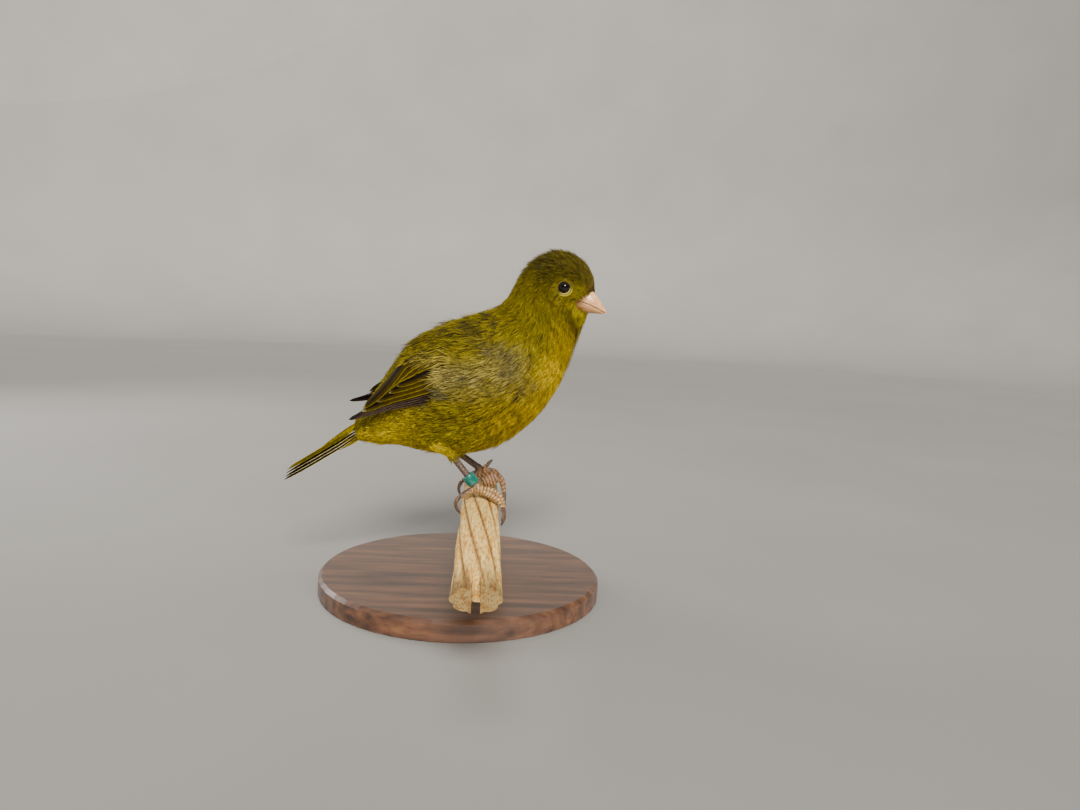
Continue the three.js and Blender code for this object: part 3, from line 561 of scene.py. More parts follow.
def eyeDistance(points):
    # Millimetres to the axis of the nearer eye, and 1 in front of it down to -1 behind it
    nearest, ahead = np.full(len(points), 99.0), np.zeros(len(points))
    turn = math.radians(headTurn["angle"])
    forward = np.array((math.cos(turn), -math.sin(turn), -0.25))
    for centre, axis in zip(*eyeSpots()):
        flat = points - centre
        beside = flat - (flat @ axis)[:, None] * axis
        distance = np.where(flat @ axis > -1, np.linalg.norm(beside, axis=1), 99)
        ahead = np.where(distance < nearest, beside @ forward / np.maximum(distance, 0.1), ahead)
        nearest = np.minimum(nearest, distance)
    return nearest, ahead


def coatKeep(t, degrees):
    points = bodySkin(t, degrees)
    keep = aheadOfFace(points) < -0.12
    distance, ahead = eyeDistance(points)
    keep &= distance > eyeForm["clear"] + 0.2 * ahead
    g = np.abs(degrees)
    underWing = (t > 2.9) & (t < 6.2) & (g > 30) & (g < 78)
    return keep & ~underWing


def coatLook(place, u, v, seed, t, degrees):
    # Sizes and colours of the tufts at these roots
    draw = np.random.default_rng(seed)
    count = len(u)
    points = place(u, v)
    share = coatShares(t, np.abs(degrees))
    tip, root, streak = markings(share, points)
    flank, chin = share["looseFlank"], share["chin"]
    length = coatLine("length", t) * (1 + 0.22 * flank) * draw.uniform(0.85, 1.15, count)
    fromEye, ahead = eyeDistance(points)
    length *= 1 - 0.7 * (1 - smooth(fromEye, 2.2, 5.4)) * smooth(ahead, -0.3, 0.4)
    length *= 1 + 0.25 * chin
    wave = unevenness(points, 14, 21) * 0.16 + unevenness(points, 5, 22) * 0.12
    rows = 0.5 + 0.5 * np.sin(degrees * 2 * math.pi / 11 + 2.2 * unevenness(points, 16, 25))
    rows = np.where(t < 8.6, 0.2 + 1.5 * smooth(rows, 0.4, 0.75), 1)
    streak = (draw.uniform(0, 1, count) < streak * rows * (1 - chin)) * draw.uniform(0.6, 1, count)
    stray = (draw.uniform(0, 1, count) < 0.07) * draw.uniform(0.3, 1, count)
    return {
        "length": length,
        "width": length * draw.uniform(0.5, 0.66, count),
        "depth": coatLine("depth", t),
        "lift": 0.12 + 0.35 * flank + 0.75 * chin + share["crest"] * draw.uniform(0, 1.15, count) ** 1.6
        + (draw.uniform(0, 0.3, count) + 0.25 * streak + stray) * np.minimum(length / 5, 1),
        "curl": draw.normal(0, 0.08, count) + 0.1 * unevenness(points, 7, 23),
        "swirl": wave + draw.normal(0, 0.07, count),
        "thick": np.interp(length, (1, 3, 7), (0.62, 0.85, 1)),
        "tip": tip,
        "root": root,
        "streak": streak,
        "shade": draw.normal(0, 0.1, count) + 0.12 * unevenness(points, 2.4, 24),
        "mapU": degrees / 360 * 0.99 + 0.5,
        "mapV": np.clip(t / billEnd, 0.002, 0.998),
    }


coatStyles = {
    "head": {"barbs": 7, "bends": (0, 0.5, 1), "barbWidth": 0.26, "round": 0.3, "loose": 0.14, "sag": 0.04,
             "streakWidth": 0.5, "paleTip": 0.1, "seed": 31},
    "body": {"barbs": 11, "bends": (0, 0.35, 0.72, 1), "barbWidth": 0.33, "round": 0.32, "loose": 0.12,
             "sag": 0.14, "streakWidth": 0.3, "paleTip": 0.25, "seed": 32},
}
coatPieces = {
    "coat_crown": ("head", lambda t, d: (t >= 9.4) & (np.abs(d) < 86)),
    "coat_face": ("head", lambda t, d: (t >= 9.4) & (np.abs(d) >= 86)),
    "coat_neck": ("head", lambda t, d: (t >= 7.7) & (t < 9.4)),
    "coat_breast_right": ("body", lambda t, d: (t >= 4.8) & (t < 7.7) & (d <= -80)),
    "coat_breast_left": ("body", lambda t, d: (t >= 4.8) & (t < 7.7) & (d >= 80)),
    "coat_belly_right": ("body", lambda t, d: (t < 4.8) & (d <= -80)),
    "coat_belly_left": ("body", lambda t, d: (t < 4.8) & (d >= 80)),
    "coat_back": ("body", lambda t, d: (t < 7.7) & (np.abs(d) < 80)),
}


def growCoat():
    t, degrees = scatter(bodySkin, 130000, (0.25, 14.85), (-180, 180), lambda u: coatLine("spacing", u),
                         seed=5, keep=coatKeep)
    for name, (style, region) in coatPieces.items():
        inside = region(t, degrees)
        u, v = t[inside], degrees[inside]
        look = coatLook(bodySkin, u, v, 6, u, v)
        pieceFromArrays(name, growTufts(bodySkin, u, v, coatStyles[style], look), plumage, "torso")


bristleForm = {"spacing": 0.34, "length": (0.9, 1.5), "slender": 0.5, "stray": 0.35, "depth": 0.25}


def growBristles():
    # Tiny feathers at the edge of the face that lie forward over the root of the bill
    def keep(t, degrees):
        ahead = aheadOfFace(bodySkin(t, degrees))
        return (ahead < 0.1) & (ahead > -1.3) & (t > 12)
    t, degrees = scatter(bodySkin, 60000, (11.8, 14.9), (-180, 180), bristleForm["spacing"], 7, keep)
    look = coatLook(bodySkin, t, degrees, 8, t, degrees)
    draw = np.random.default_rng(9)
    count = len(t)
    low = smooth(np.abs(degrees), 100, 140)
    look["length"] = draw.uniform(*bristleForm["length"], count)
    look["width"] = look["length"] * bristleForm["slender"]
    look["swirl"] = math.pi + draw.normal(0, bristleForm["stray"], count)
    look["lift"] = 0.2 + 0.25 * (1 - low) + draw.uniform(0, 0.15, count)
    look["depth"] = np.full(count, bristleForm["depth"])
    made = growTufts(bodySkin, t, degrees, coatStyles["head"] | {"barbs": 5, "seed": 33}, look)
    pieceFromArrays("coat_bristles", made, plumage, "head")


# Loose feathers round the top of each leg

# Each foot's pale tone is a painted highlight on its plates and folds, and its dark tone is painted shade in
# their grooves and in the valleys of the folds.
legForm = {
    "right": {"heel": (-10.7, -8, 14.8), "foot": (-1.2, -8, 3.4), "toe": "#a37f4e", "pale": "#cfae7c",
              "dark": "#5a4330", "hind": "#b08c5c", "folds": 0},
    "left": {"heel": (-9.9, 8, 12.4), "foot": (-0.2, 8, 5.8), "toe": "#8a6746", "pale": "#b08f66",
             "dark": "#4a3527", "hind": "#6a3c18", "folds": 1},
    "shank": "#5b4b3f", "scute": 1.05, "depth": 0.09, "bunch": (2.7, 7.2, 2.9), "bunchEdge": (2.9, 4.2),
    "fold": 1.15, "foldDepth": 0.3,
}
thighForm = {"shown": 2.2, "above": 7.2, "radius": (1.5, 4.4), "spacing": 0.85, "length": 3.6,
             "slender": 0.5, "depth": 0.5, "lift": (0.1, 0.5), "sunFrom": 3.5}


def legLine(side):
    # The ankle, the direction up the shank and the heel
    foot, heel = (np.array(legForm[side][end], float) for end in ("foot", "heel"))
    return foot, (heel - foot) / np.linalg.norm(heel - foot), heel


def thighPlace(side):
    _, up, heel = legLine(side)
    knee = heel - up * thighForm["shown"]
    first = np.array((0, 1.0, 0))
    second = np.cross(up, first)
    thin, thick = thighForm["radius"]

    def place(u, v, grow=0):
        a = np.radians(-np.asarray(v))
        radius = thin + (thick - thin) * smooth(u, 0, thighForm["above"]) + grow
        around = np.cos(a)[..., None] * first + np.sin(a)[..., None] * second
        return knee + np.asarray(u)[..., None] * up + radius[..., None] * around
    return place


def growThighs():
    parts = []
    for side, mapU in (("right", 0.35), ("left", 0.65)):
        place = thighPlace(side)
        u, v = scatter(place, 4000, (0.2, thighForm["above"]), (-180, 180), thighForm["spacing"], 60)
        look = coatLook(place, u, v, 61, np.full_like(u, 2.4), np.full_like(u, 150.0))
        draw = np.random.default_rng(62)
        look["length"] = thighForm["length"] * draw.uniform(0.7, 1.15, len(u))
        look["width"] = look["length"] * thighForm["slender"]
        look["depth"] = np.full(len(u), thighForm["depth"])
        look["lift"] = draw.uniform(*thighForm["lift"], len(u))
        sunny = smooth(u, 0, thighForm["sunFrom"])
        look["tip"] = mix(plumageColours["olive"], plumageColours["sun"], sunny)
        look["mapU"] = mapU + v / 360 * 0.06
        look["mapV"] = 0.12 + u / 100
        style = coatStyles["body"] | {"barbs": 7, "barbWidth": 0.3, "seed": 63}
        parts.append(growTufts(place, u, v, style, look))
    pieceFromArrays("coat_thighs", joinParts(parts), plumage, "torso")


# Vanes of the wings and tail: closed thin blades with a shaft, a curve across and a slightly torn edge

vaneStyle = {"rows": 30, "columns": 10, "thick": 0.1, "shaft": 0.07, "camber": 0.35, "unevenShade": 0.06}


def growVane(place, line, width, tone, seed, step=0.45, flip=1, blunt=4.0, mapAt=(0.5, 0.5), shaftAt=0.0):
    # line gives u, v and height along the vane. The outer web is at q = -1 on the right wing.
    rows, columns = vaneStyle["rows"], vaneStyle["columns"]
    draw = np.random.default_rng(seed)
    t = np.linspace(0, 1, rows + 1) ** 0.9
    u, v, high = line(t)
    _, perV = metric(place, u, v)
    outline = (0.5 + 0.5 * smooth(t, 0, 0.3)) * np.sqrt(np.maximum(1 - t ** blunt, 0.004))
    q = -np.cos(np.linspace(0, math.pi, columns + 1))
    torn = []
    for _ in range(2):
        rough = 1 + draw.normal(0, 0.012, rows + 1)
        for k in draw.integers(rows // 3, rows - 2, 2):
            rough[k] -= draw.uniform(0.04, 0.12)
        torn.append(rough)
    torn = np.where(q < 0, torn[0][:, None], torn[1][:, None])
    aside = q * (width / 2 * outline)[:, None] * (1 + (torn - 1) * np.abs(q) ** 3)
    level = high[:, None] - q * flip * step / 2 - vaneStyle["camber"] * (aside / width) ** 2 * 2
    body = vaneStyle["thick"] * (1 - 0.6 * t[:, None]) * (1 - np.abs(q) ** 4)
    ridge = vaneStyle["shaft"] * (1 - 0.8 * t[:, None]) * np.exp(-((q - shaftAt) / 0.09) ** 2)
    top = level + body + ridge
    ringAside = np.hstack((aside, aside[:, -2:0:-1]))
    ringHigh = np.hstack((top, level[:, -2:0:-1]))
    ring = ringAside.shape[1]
    points = place(u[:, None] + 0 * ringAside, v[:, None] + ringAside / perV[:, None], ringHigh)
    faces = ringFaces(rows, ring)
    for base, turn in ((0, -1), (rows * ring, 1)):
        for k in range(columns):
            top1, top2 = base + k, base + k + 1
            low1, low2 = base + (ring - k) % ring, base + (ring - k - 1) % ring
            for face in ((top1, top2, low2), (top1, low2, low1)):
                if len(set(face)) == 3:
                    faces.append(face[::turn])
    qRing = np.hstack((q, q[-2:0:-1]))
    tAll = np.repeat(t, ring)
    qAll = np.tile(qRing, rows + 1)
    tones = tone(tAll, qAll * flip, draw)
    patches = np.stack((mapAt[0] + bakePatch / 2 * qAll, mapAt[1] + bakePatch * (tAll - 0.5)), -1)
    length = np.linalg.norm(np.diff(points[:, columns // 2], axis=0), axis=1).sum()
    slant = tAll * length - np.abs(ringAside).ravel() * 1.3
    barbs = np.stack((ringAside.ravel() / 10, slant / 10), -1)
    return points.reshape(-1, 3), np.array(faces), tones, patches, barbs


def vaneTone(base, edge, centre, tipColour, edgeWidth, centreWidth, tipFrom):
    # A vane's colours: its webs, a line along the outer edge, a dark centre and its tip
    c = plumageColours

    def tone(t, q, draw):
        shade = 1 + draw.normal(0, vaneStyle["unevenShade"])
        wander = 0.08 * np.sin(t * 9 + draw.uniform(0, 6))
        middle = np.exp(-((q + wander) / centreWidth) ** 4) * (1 - smooth(t, tipFrom - 0.06, 1))
        tones = mix(c[base], c[centre], middle)
        tones = mix(tones, c[edge], 1 - smooth(q, -1 + edgeWidth * 0.4, -1 + edgeWidth))
        tones = mix(tones, c[edge], 0.6 * smooth(q, 1 - edgeWidth, 1))
        tones = mix(tones, c[tipColour], smooth(t, tipFrom, 1) * 0.9)
        return tones * shade
    return tone


vaneTones = {
    "primaries": ("quill", "blush", "ink", "quill", 0.055, 0.5, 0.95),
    "secondaries": ("bronze", "oliveEdge", "ink", "paleTip", 0.1, 0.4, 0.965),
    "tertials": ("bronze", "oliveEdge", "ink", "paleTip", 0.15, 0.3, 0.97),
    "greaterCoverts": ("olive", "oliveEdge", "ink", "olive", 0.3, 0.6, 0.9),
    "tail": ("mustard", "oliveEdge", "ink", "quill", 0.12, 0.2, 0.95),
    "tailUnder": ("quill", "strawLine", "ink", "quill", 0.13, 0.7, 0.95),
    "tailCoverts": ("olive", "lemon", "umber", "lemon", 0.5, 0.22, 0.7),
    "underCoverts": ("sun", "lemon", "lemon", "cream", 0.4, 0.3, 0.8),
}
# Tiers from the undermost. Roots and tips run from the lowest feather of the tier to the highest.
wingTiers = {
    "primaries": {"count": 6, "root": ((0.28, -0.84), (0.3, -0.46)), "tip": ((1, -0.52), (0.94, -0.4)),
                  "width": 3.6, "lift": -0.3, "rise": 0.07, "shaftAt": -0.3},
    "secondaries": {"count": 4, "root": ((0.3, -0.48), (0.32, -0.1)), "tip": ((0.92, -0.38), (0.74, -0.18)),
                    "width": 4.8, "lift": 0.3, "rise": 0.08, "shaftAt": -0.15},
    "tertials": {"count": 3, "root": ((0.4, 0.2), (0.46, 0.7)), "tip": ((0.8, 0.02), (0.91, -0.24)),
                 "width": 5.6, "lift": 0.7, "rise": 0.15, "shaftAt": 0},
    "greaterCoverts": {"count": 9, "root": ((0.16, -0.8), (0.2, 0.45)), "tip": ((0.47, -0.76), (0.5, 0.3)),
                       "width": 4.2, "lift": 0.25, "rise": 0.03, "shaftAt": 0},
}


def growWing(which, setup):
    side = setup["side"]
    place = makeSheet(**setup)
    parts = []
    for tier, form in wingTiers.items():
        tone = vaneTone(*vaneTones[tier])
        ends = np.array((form["root"], form["tip"]))
        for i in range(form["count"]):
            f = i / (form["count"] - 1)
            start, end = ends[:, 0] * (1 - f) + ends[:, 1] * f

            def line(t):
                s, c = (start[k] + (end[k] - start[k]) * t for k in (0, 1))
                return -s, -side * c, form["lift"] + form["rise"] * i - 1.1 * (1 - smooth(t, 0, 0.4))
            seed = 101 + 50 * side + len(parts)
            mapAt = (0.5 + side * (0.2 + 0.1 * start[1]), 0.3 + 0.3 * start[0] + 0.006 * (seed % 20))
            parts.append(growVane(place, line, form["width"] * (1 - 0.12 * f), tone, seed, flip=-side,
                                  mapAt=mapAt, shaftAt=-side * form["shaftAt"]))
    pieceFromArrays("vanes_" + which, joinParts(parts), vane, "wing_" + which, "wing_" + which)


# Soft feathers that lie over the folded wing: long streaked scapulars above, loose flank feathers below

overWing = {
    "scapulars": {"u": (-0.7, -0.02), "v": (-0.05, 0.88), "spacing": 1.8, "length": 9.5, "start": 0.8,
                  "lift": 1.25, "streakWidth": 0.38},
    "flanks": {"u": (-0.5, 0), "v": (-1.15, 0.3), "spacing": 1.3, "length": 7.4, "start": 0.7,
               "lift": 1.5, "streakWidth": 0.24},
}


def growOverWing(kind, which, setup):
    side = setup["side"]
    place = makeSheet(**setup)
    form = overWing[kind]
    low, high = form["v"]

    def keep(u, v):
        s, c = -u, -side * v
        if kind == "scapulars":
            return (c > 0.02 + 0.5 * smooth(s, 0.4, 0.66)) & (s < 0.69 - 0.16 * c + 0.02 * np.sin(c * 17))
        return (c < 0.16) & (s < 0.39 - 0.12 * (c + 0.1) + 0.035 * np.sin(c * 13 + 1))
    vRange = (-high, -low) if side > 0 else (low, high)
    u, v = scatter(place, 9000, form["u"], vRange, form["spacing"], 40 + side, keep)
    s, c = -u, -side * v
    t = np.interp(s, (0, 0.8), (7.1, 2.4))
    g = np.where(c > 0, 57 - 35 * c, 57 - 34 * c)
    look = coatLook(place, u, v, 41 + side, t, side * g)
    draw = np.random.default_rng(43 + side)
    count = len(u)
    look["length"] = form["length"] * draw.uniform(0.72, 1.2, count) * (1 - 0.3 * (1 - smooth(s, 0, 0.25)))
    look["length"] *= 1 - 0.3 * smooth(s, 0.4, 0.6)
    look["width"] = look["length"] * draw.uniform(0.42, 0.54, count)
    front = 1 - smooth(s, 0, 0.14)
    overVanes = smooth(s, 0.12, 0.3)
    look["depth"] = -form["start"] * overVanes + 0.6 * front
    look["lift"] = 0.4 + (form["lift"] - 0.4) * overVanes + draw.uniform(-0.1, 0.3, count)
    look["lift"] *= 1 - 0.4 * smooth(c, 0.5, 0.9)
    look["lift"] += 0.3 * look["streak"]
    if kind == "flanks":
        look["swirl"] = look["swirl"] + side * -0.22
        look["streak"] = look["streak"] * 0.7
    else:
        look["streak"] = np.maximum(look["streak"], (draw.uniform(0, 1, count) < 0.5) * 0.85)
    style = coatStyles["body"] | {"barbs": 13, "streakWidth": form["streakWidth"], "paleTip": 0.1,
                                  "seed": 50 + side, "sag": 0.3}
    pieceFromArrays(f"{kind}_{which}", growTufts(place, u, v, style, look), plumage, "torso")


# The tail: twelve vanes in a closed fan with coverts over and under their roots

tailForm = {
    "root": (-38.6, 0, 18.6), "fall": 33.5, "pairs": 6, "length": 24.6, "fork": 3.4, "width": 5.4,
    "spread": (0, 0.2, 0.4, 0.95, 1.55, 2.1), "layer": (0, 0.25, 0.5, 1.2, 1.95, 2.6), "splay": 0.9,
    "roof": 4, "half": 1.1, "yellow": 3,
    "over": {"tone": "tailCoverts", "mapV": 0.05, "count": 9, "length": (8, 15), "width": 4.2, "spread": 3,
             "above": 2.1, "sag": 1.2, "roof": 28},
    "under": {"tone": "underCoverts", "mapV": 0.06, "count": 11, "length": (9, 17), "width": 4.4,
              "spread": 3.8, "above": -2.6, "sag": -1.6, "roof": -24},
}


def tailPlace(aside, above, splay, roof, sag=0, reach=1):
    fall = math.radians(tailForm["fall"])
    back = np.array((-math.cos(fall), 0, -math.sin(fall)))
    up = np.array((-math.sin(fall), 0, math.cos(fall)))
    tilt = Matrix.Rotation(math.radians(roof), 3, Vector(back))
    out = np.array(tilt @ Vector(up))
    across = np.cross(back, out)
    root = np.array(tailForm["root"])

    def place(u, v, grow=0):
        far = -np.asarray(u)
        height = above - sag * (far / reach) ** 2
        middle = root + far[..., None] * (back + np.array((0, math.tan(math.radians(splay)), 0)))
        middle = middle + np.asarray(height)[..., None] * up
        return middle + np.asarray(v)[..., None] * across + np.asarray(grow)[..., None] * out
    return place


def growTail():
    parts = []

    def addVane(place, reach, width, tone, **shape):
        parts.append(growVane(place, lambda t: (-reach * t, 0 * t, 0 * t), width, vaneTone(*vaneTones[tone]),
                              301 + len(parts), **shape))
    for i in range(tailForm["pairs"]):
        reach = tailForm["length"] + tailForm["fork"] * i / (tailForm["pairs"] - 1)
        for side in (-1, 1):
            place = tailPlace(side * (tailForm["half"] + tailForm["spread"][i]),
                              tailForm["half"] - tailForm["layer"][i],
                              side * tailForm["splay"] * (0.4 + i * 0.5),
                              side * tailForm["roof"] * (1 + i * 0.5))
            tone = "tail" if i < tailForm["yellow"] else "tailUnder"
            addVane(place, reach, tailForm["width"], tone, step=0.1, flip=-side,
                    mapAt=(0.3 + 0.03 * i, 0.025 + side * 0.005), shaftAt=side * 0.1 * i / 2)
    for row in (tailForm["over"], tailForm["under"]):
        shortest, longest = row["length"]
        for i in range(row["count"]):
            f = 2 * i / (row["count"] - 1) - 1
            reach = longest + (shortest - longest) * abs(f)
            place = tailPlace(row["spread"] * f, row["above"] * math.sqrt(1 - 0.45 * f * f), 2 * f,
                              row["roof"] * f, row["sag"], reach)
            addVane(place, reach, row["width"], row["tone"], step=0, blunt=3,
                    mapAt=(0.5 + 0.04 * f, row["mapV"]))
    pieceFromArrays("tail_feathers", joinParts(parts), vane, "tail", "tail")


# Pieces that start as copies of the solids

def joinPieces(pieces, name):
    deselectAll()
    for piece in pieces:
        piece.select_set(True)
    bpy.context.view_layer.objects.active = pieces[0]
    if len(pieces) > 1:
        bpy.ops.object.join()
    pieces[0].name = name
    return pieces[0]


def copyNodes(name, nodes):
    copies = [bpy.data.objects.new(name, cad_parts[title].data.copy()) for title in nodes]
    for copy in copies:
        bpy.context.scene.collection.objects.link(copy)
    piece = joinPieces(copies, name)
    piece.data.materials.clear()
    bpy.ops.object.mode_set(mode="EDIT")
    bpy.ops.mesh.select_all(action="SELECT")
    bpy.ops.mesh.remove_doubles(threshold=0.002 * mm)
    bpy.ops.mesh.customdata_custom_splitnormals_clear()
    bpy.ops.object.mode_set(mode="OBJECT")
    return piece


def applyModifier(piece, kind, **values):
    deselectAll()
    piece.select_set(True)
    bpy.context.view_layer.objects.active = piece
    modifier = piece.modifiers.new(kind.lower(), kind)
    for key, value in values.items():
        setattr(modifier, key, value)
    bpy.ops.object.modifier_apply(modifier=modifier.name)


def swell(piece, distance, shares=None):
    # Moves the surface out by this many mm, or each point by its share of them
    values = {"mid_level": 0, "strength": distance * mm}
    if shares is not None:
        group = piece.vertex_groups.new(name="shares")
        for i, value in enumerate(shares):
            group.add([i], float(value), "REPLACE")
        values["vertex_group"] = group.name
    applyModifier(piece, "DISPLACE", **values)


def melt(piece, voxel, rounds=0, before=0, after=0):
    # Makes one even skin of the parts, and smooths it
    if before:
        swell(piece, before)
    applyModifier(piece, "REMESH", mode="VOXEL", voxel_size=voxel * mm)
    if rounds:
        applyModifier(piece, "SMOOTH", factor=0.5, iterations=rounds)
    if after:
        swell(piece, after)


def vertexArray(piece):
    values = np.empty(len(piece.data.vertices) * 3, np.float32)
    piece.data.vertices.foreach_get("co", values)
    return values.reshape(-1, 3) / mm - birdPlace


def nearestPlaces(points):
    # The station and degrees of the body's surface nearest to each point
    t, degrees = np.meshgrid(np.linspace(0, billEnd, 240), np.linspace(-180, 177, 120), indexing="ij")
    t, degrees = t.ravel(), degrees.ravel()
    tree = treeOf(bodySkin(t, degrees))
    nearest = np.array([tree.find(point)[1] for point in points])
    return t[nearest], degrees[nearest]


skinForm = {"voxel": 0.5, "closeGaps": 0.25, "coat": 1.2, "below": 0.15}


def buildSkin():
    # The flesh under the coat, which lies inside the solids by the coat's depth
    nodes = ["head", "neck", "torso", "rump", "thigh_right", "thigh_left"]
    piece = copyNodes("skin", nodes)
    melt(piece, skinForm["voxel"], before=skinForm["closeGaps"])
    t, _ = nearestPlaces(vertexArray(piece))
    swell(piece, -(skinForm["coat"] + skinForm["below"]), coatLine("depth", t) / skinForm["coat"])
    applyModifier(piece, "SMOOTH", factor=0.5, iterations=4)
    points = vertexArray(piece)
    t, degrees = nearestPlaces(points)
    tip, root, _ = markings(coatShares(t, np.abs(degrees)), points)
    paint(piece, "plumage", mix(root, tip, 0.35))
    finishPiece(piece, plumage, "torso", *nodes)


# Eyes and lids

lidForm = {
    "ring": {"radius": 1.8, "thick": 0.15, "out": 1.2, "above": 0, "tones": ("#332a12", "#ab9c55"),
             "turns": (0.2, 0.8)},
    "fold": {"radius": 2.36, "thick": 0.17, "out": 1.1, "above": -0.12, "tones": ("#3a3004", "#a89a1c"),
             "turns": (0.1, 0.9)},
}
lidDroop = {"down": 0.92, "back": 0.4, "swell": 0.1}


def addTurned(primitive, centre, axis, **sizes):
    # A primitive at this place with its own Z along the axis
    deselectAll()
    turn = Vector(axis).to_track_quat("Z", "Y").to_euler()
    primitive(location=Vector(centre + birdPlace) * mm, rotation=turn, **sizes)
    bpy.ops.object.transform_apply(location=True, rotation=True, scale=True)
    return bpy.context.object


def buildEyes():
    eyeLayers = [((2500, 2), [(0.3, "#9a9a9a"), (0.7, "#ffffff")])]
    eyeMaterial = newMaterial("eye", 0.05, eyeLayers, "iris", Specular_IOR_Level=0.6)
    lidLayers = [((4000, 2), [(0.35, "#b9b0a0"), (0.6, "#ffffff")])]
    lidMaterial = newMaterial("bareSkin", 0.6, lidLayers, "skinTone", (0.5, 0.05), Specular_IOR_Level=0.3)
    for side, centre, axis in zip(("right", "left"), *eyeSpots()):
        eye = addTurned(bpy.ops.mesh.primitive_uv_sphere_add, centre, axis, segments=64, ring_count=40,
                        radius=eyeForm["radius"] * mm)
        eye.name = "eyeball_" + side
        outward = (vertexArray(eye) - centre) @ axis / eyeForm["radius"]
        swell(eye, eyeForm["bulge"], smooth(outward, eyeForm["bulgeFrom"], 1.0))
        brown, black = (linear(colour) for colour in eyeForm["iris"])
        paint(eye, "iris", mix(brown, black, smooth(outward, *eyeForm["pupil"])))
        finishPiece(eye, eyeMaterial, "eye_" + side, "eye_" + side)
        buildLids(side, centre, axis, lidMaterial)


def buildLids(side, centre, axis, material):
    # A thin ring at the eye, brown above and cream below, and a fold round it, olive above and yellow below
    parts = []
    down = np.array((0, 0, -1.0)) - axis * -axis[2]
    down /= np.linalg.norm(down)
    backward = np.cross(axis, down) * (1 if side == "right" else -1)
    low = down * lidDroop["down"] + backward * lidDroop["back"]
    low /= np.linalg.norm(low)
    for form in lidForm.values():
        lid = addTurned(bpy.ops.mesh.primitive_torus_add, centre + axis * form["out"], axis,
                        major_segments=64, minor_segments=14, major_radius=form["radius"] * mm,
                        minor_radius=form["thick"] * mm)
        flat = vertexArray(lid) - centre
        flat = flat - (flat @ axis)[:, None] * axis
        lowness = flat @ low / np.linalg.norm(flat, axis=1)
        swell(lid, lidDroop["swell"], smooth(lowness, 0.1, 0.9))
        if form["above"]:
            swell(lid, form["above"], 1 - smooth(lowness, -0.4, 0.3))
        above, below = (linear(colour) for colour in form["tones"])
        paint(lid, "skinTone", mix(above, below, smooth(lowness, *form["turns"])))
        parts.append(lid)
    finishPiece(joinPieces(parts, "lids_" + side), material, "head")


# Bill

# The ridge tone is a painted highlight along the top of the bill.
# The seam tone is painted shade along the mouth line between the two halves.
billForm = {
    "back": 1.6, "facing": 0.55, "voxel": 0.13, "close": 0.06, "flesh": "#cc9c6c",
    "root": "#8a6034", "rootEdge": (29.4, 32.4), "ridge": "#e0b888", "highlightEdge": (61, 64.5),
    "lower": "#90693e", "lowerEdge": (33, 37), "seam": "#5d3a1e", "seamShadeEdge": (0.12, 0.42),
}


def nodePlaces(name):
    # Finely spaced points all over a solid's faces
    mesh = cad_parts[name].data
    points = np.array([vertex.co for vertex in mesh.vertices]) / mm - birdPlace
    mesh.calc_loop_triangles()
    corners = np.array([points[list(face.vertices)] for face in mesh.loop_triangles])
    steps = [(i / 8, j / 8) for i in range(9) for j in range(9 - i)]
    spread = [corners[:, 0] * (1 - i - j) + corners[:, 1] * i + corners[:, 2] * j for i, j in steps]
    return treeOf(np.concatenate(spread))


def buildBill():
    # Each half's back is drawn out under the feathers, and a little swelling closes the seam between them
    layers = [((900, 4, (0.35, 1.4, 1.2)), [(0.3, "#d9c4b0"), (0.6, "#ffffff")])]
    material = newMaterial("bill", 0.32, layers, "hornTone", (0.3, 0.1), Coat_Weight=0.5,
                           Coat_Roughness=0.16, Subsurface_Weight=0.12, Subsurface_Scale=0.6 * mm)
    a = math.radians(headTurn["angle"])
    backward = Vector((-math.cos(a), math.sin(a), 0.12))
    for name, other in (("bill_upper", "bill_lower"), ("bill_lower", "bill_upper")):
        piece = copyNodes(name + "_horn", [name])
        bpy.ops.object.mode_set(mode="EDIT")
        bpy.ops.mesh.select_mode(type="FACE")
        bpy.ops.object.mode_set(mode="OBJECT")
        for polygon in piece.data.polygons:
            polygon.select = polygon.normal.dot(backward) > billForm["facing"]
        bpy.ops.object.mode_set(mode="EDIT")
        bpy.ops.mesh.extrude_region_move(TRANSFORM_OT_translate={"value": backward * billForm["back"] * mm})
        bpy.ops.object.mode_set(mode="OBJECT")
        melt(piece, billForm["voxel"], rounds=10, after=billForm["close"])
        x, z = onFace(vertexArray(piece))
        flesh, root, ridge = (linear(billForm[k]) for k in ("flesh", "root", "ridge"))
        tones = mix(root, flesh, smooth(x, *billForm["rootEdge"]))
        # Painted highlight: the ridge tone lightens the top of each half
        tones = mix(tones, ridge, 0.7 * smooth(z, *billForm["highlightEdge"]))
        if name == "bill_lower":
            shown = 0.75 - 0.45 * smooth(x, *billForm["lowerEdge"])
            tones = mix(tones, linear(billForm["lower"]), shown)
        # Painted shade along the mouth line: each half is darkened where it lies close to the other
        tree = nodePlaces(other)
        gap = np.array([tree.find(point)[2] for point in vertexArray(piece)])
        tones = mix(linear(billForm["seam"]), tones, smooth(gap, *billForm["seamShadeEdge"]))
        paint(piece, "hornTone", tones)
        finishPiece(piece, material, name, name)


# Legs, feet and claws

def legCells(tree):
    cells = node(tree, "ShaderNodeTexVoronoi", Scale=1500)
    place = node(tree, "ShaderNodeTexCoord")
    tree.links.new(place.outputs["Object"], cells.inputs["Vector"])
    return cells.outputs["Distance"]


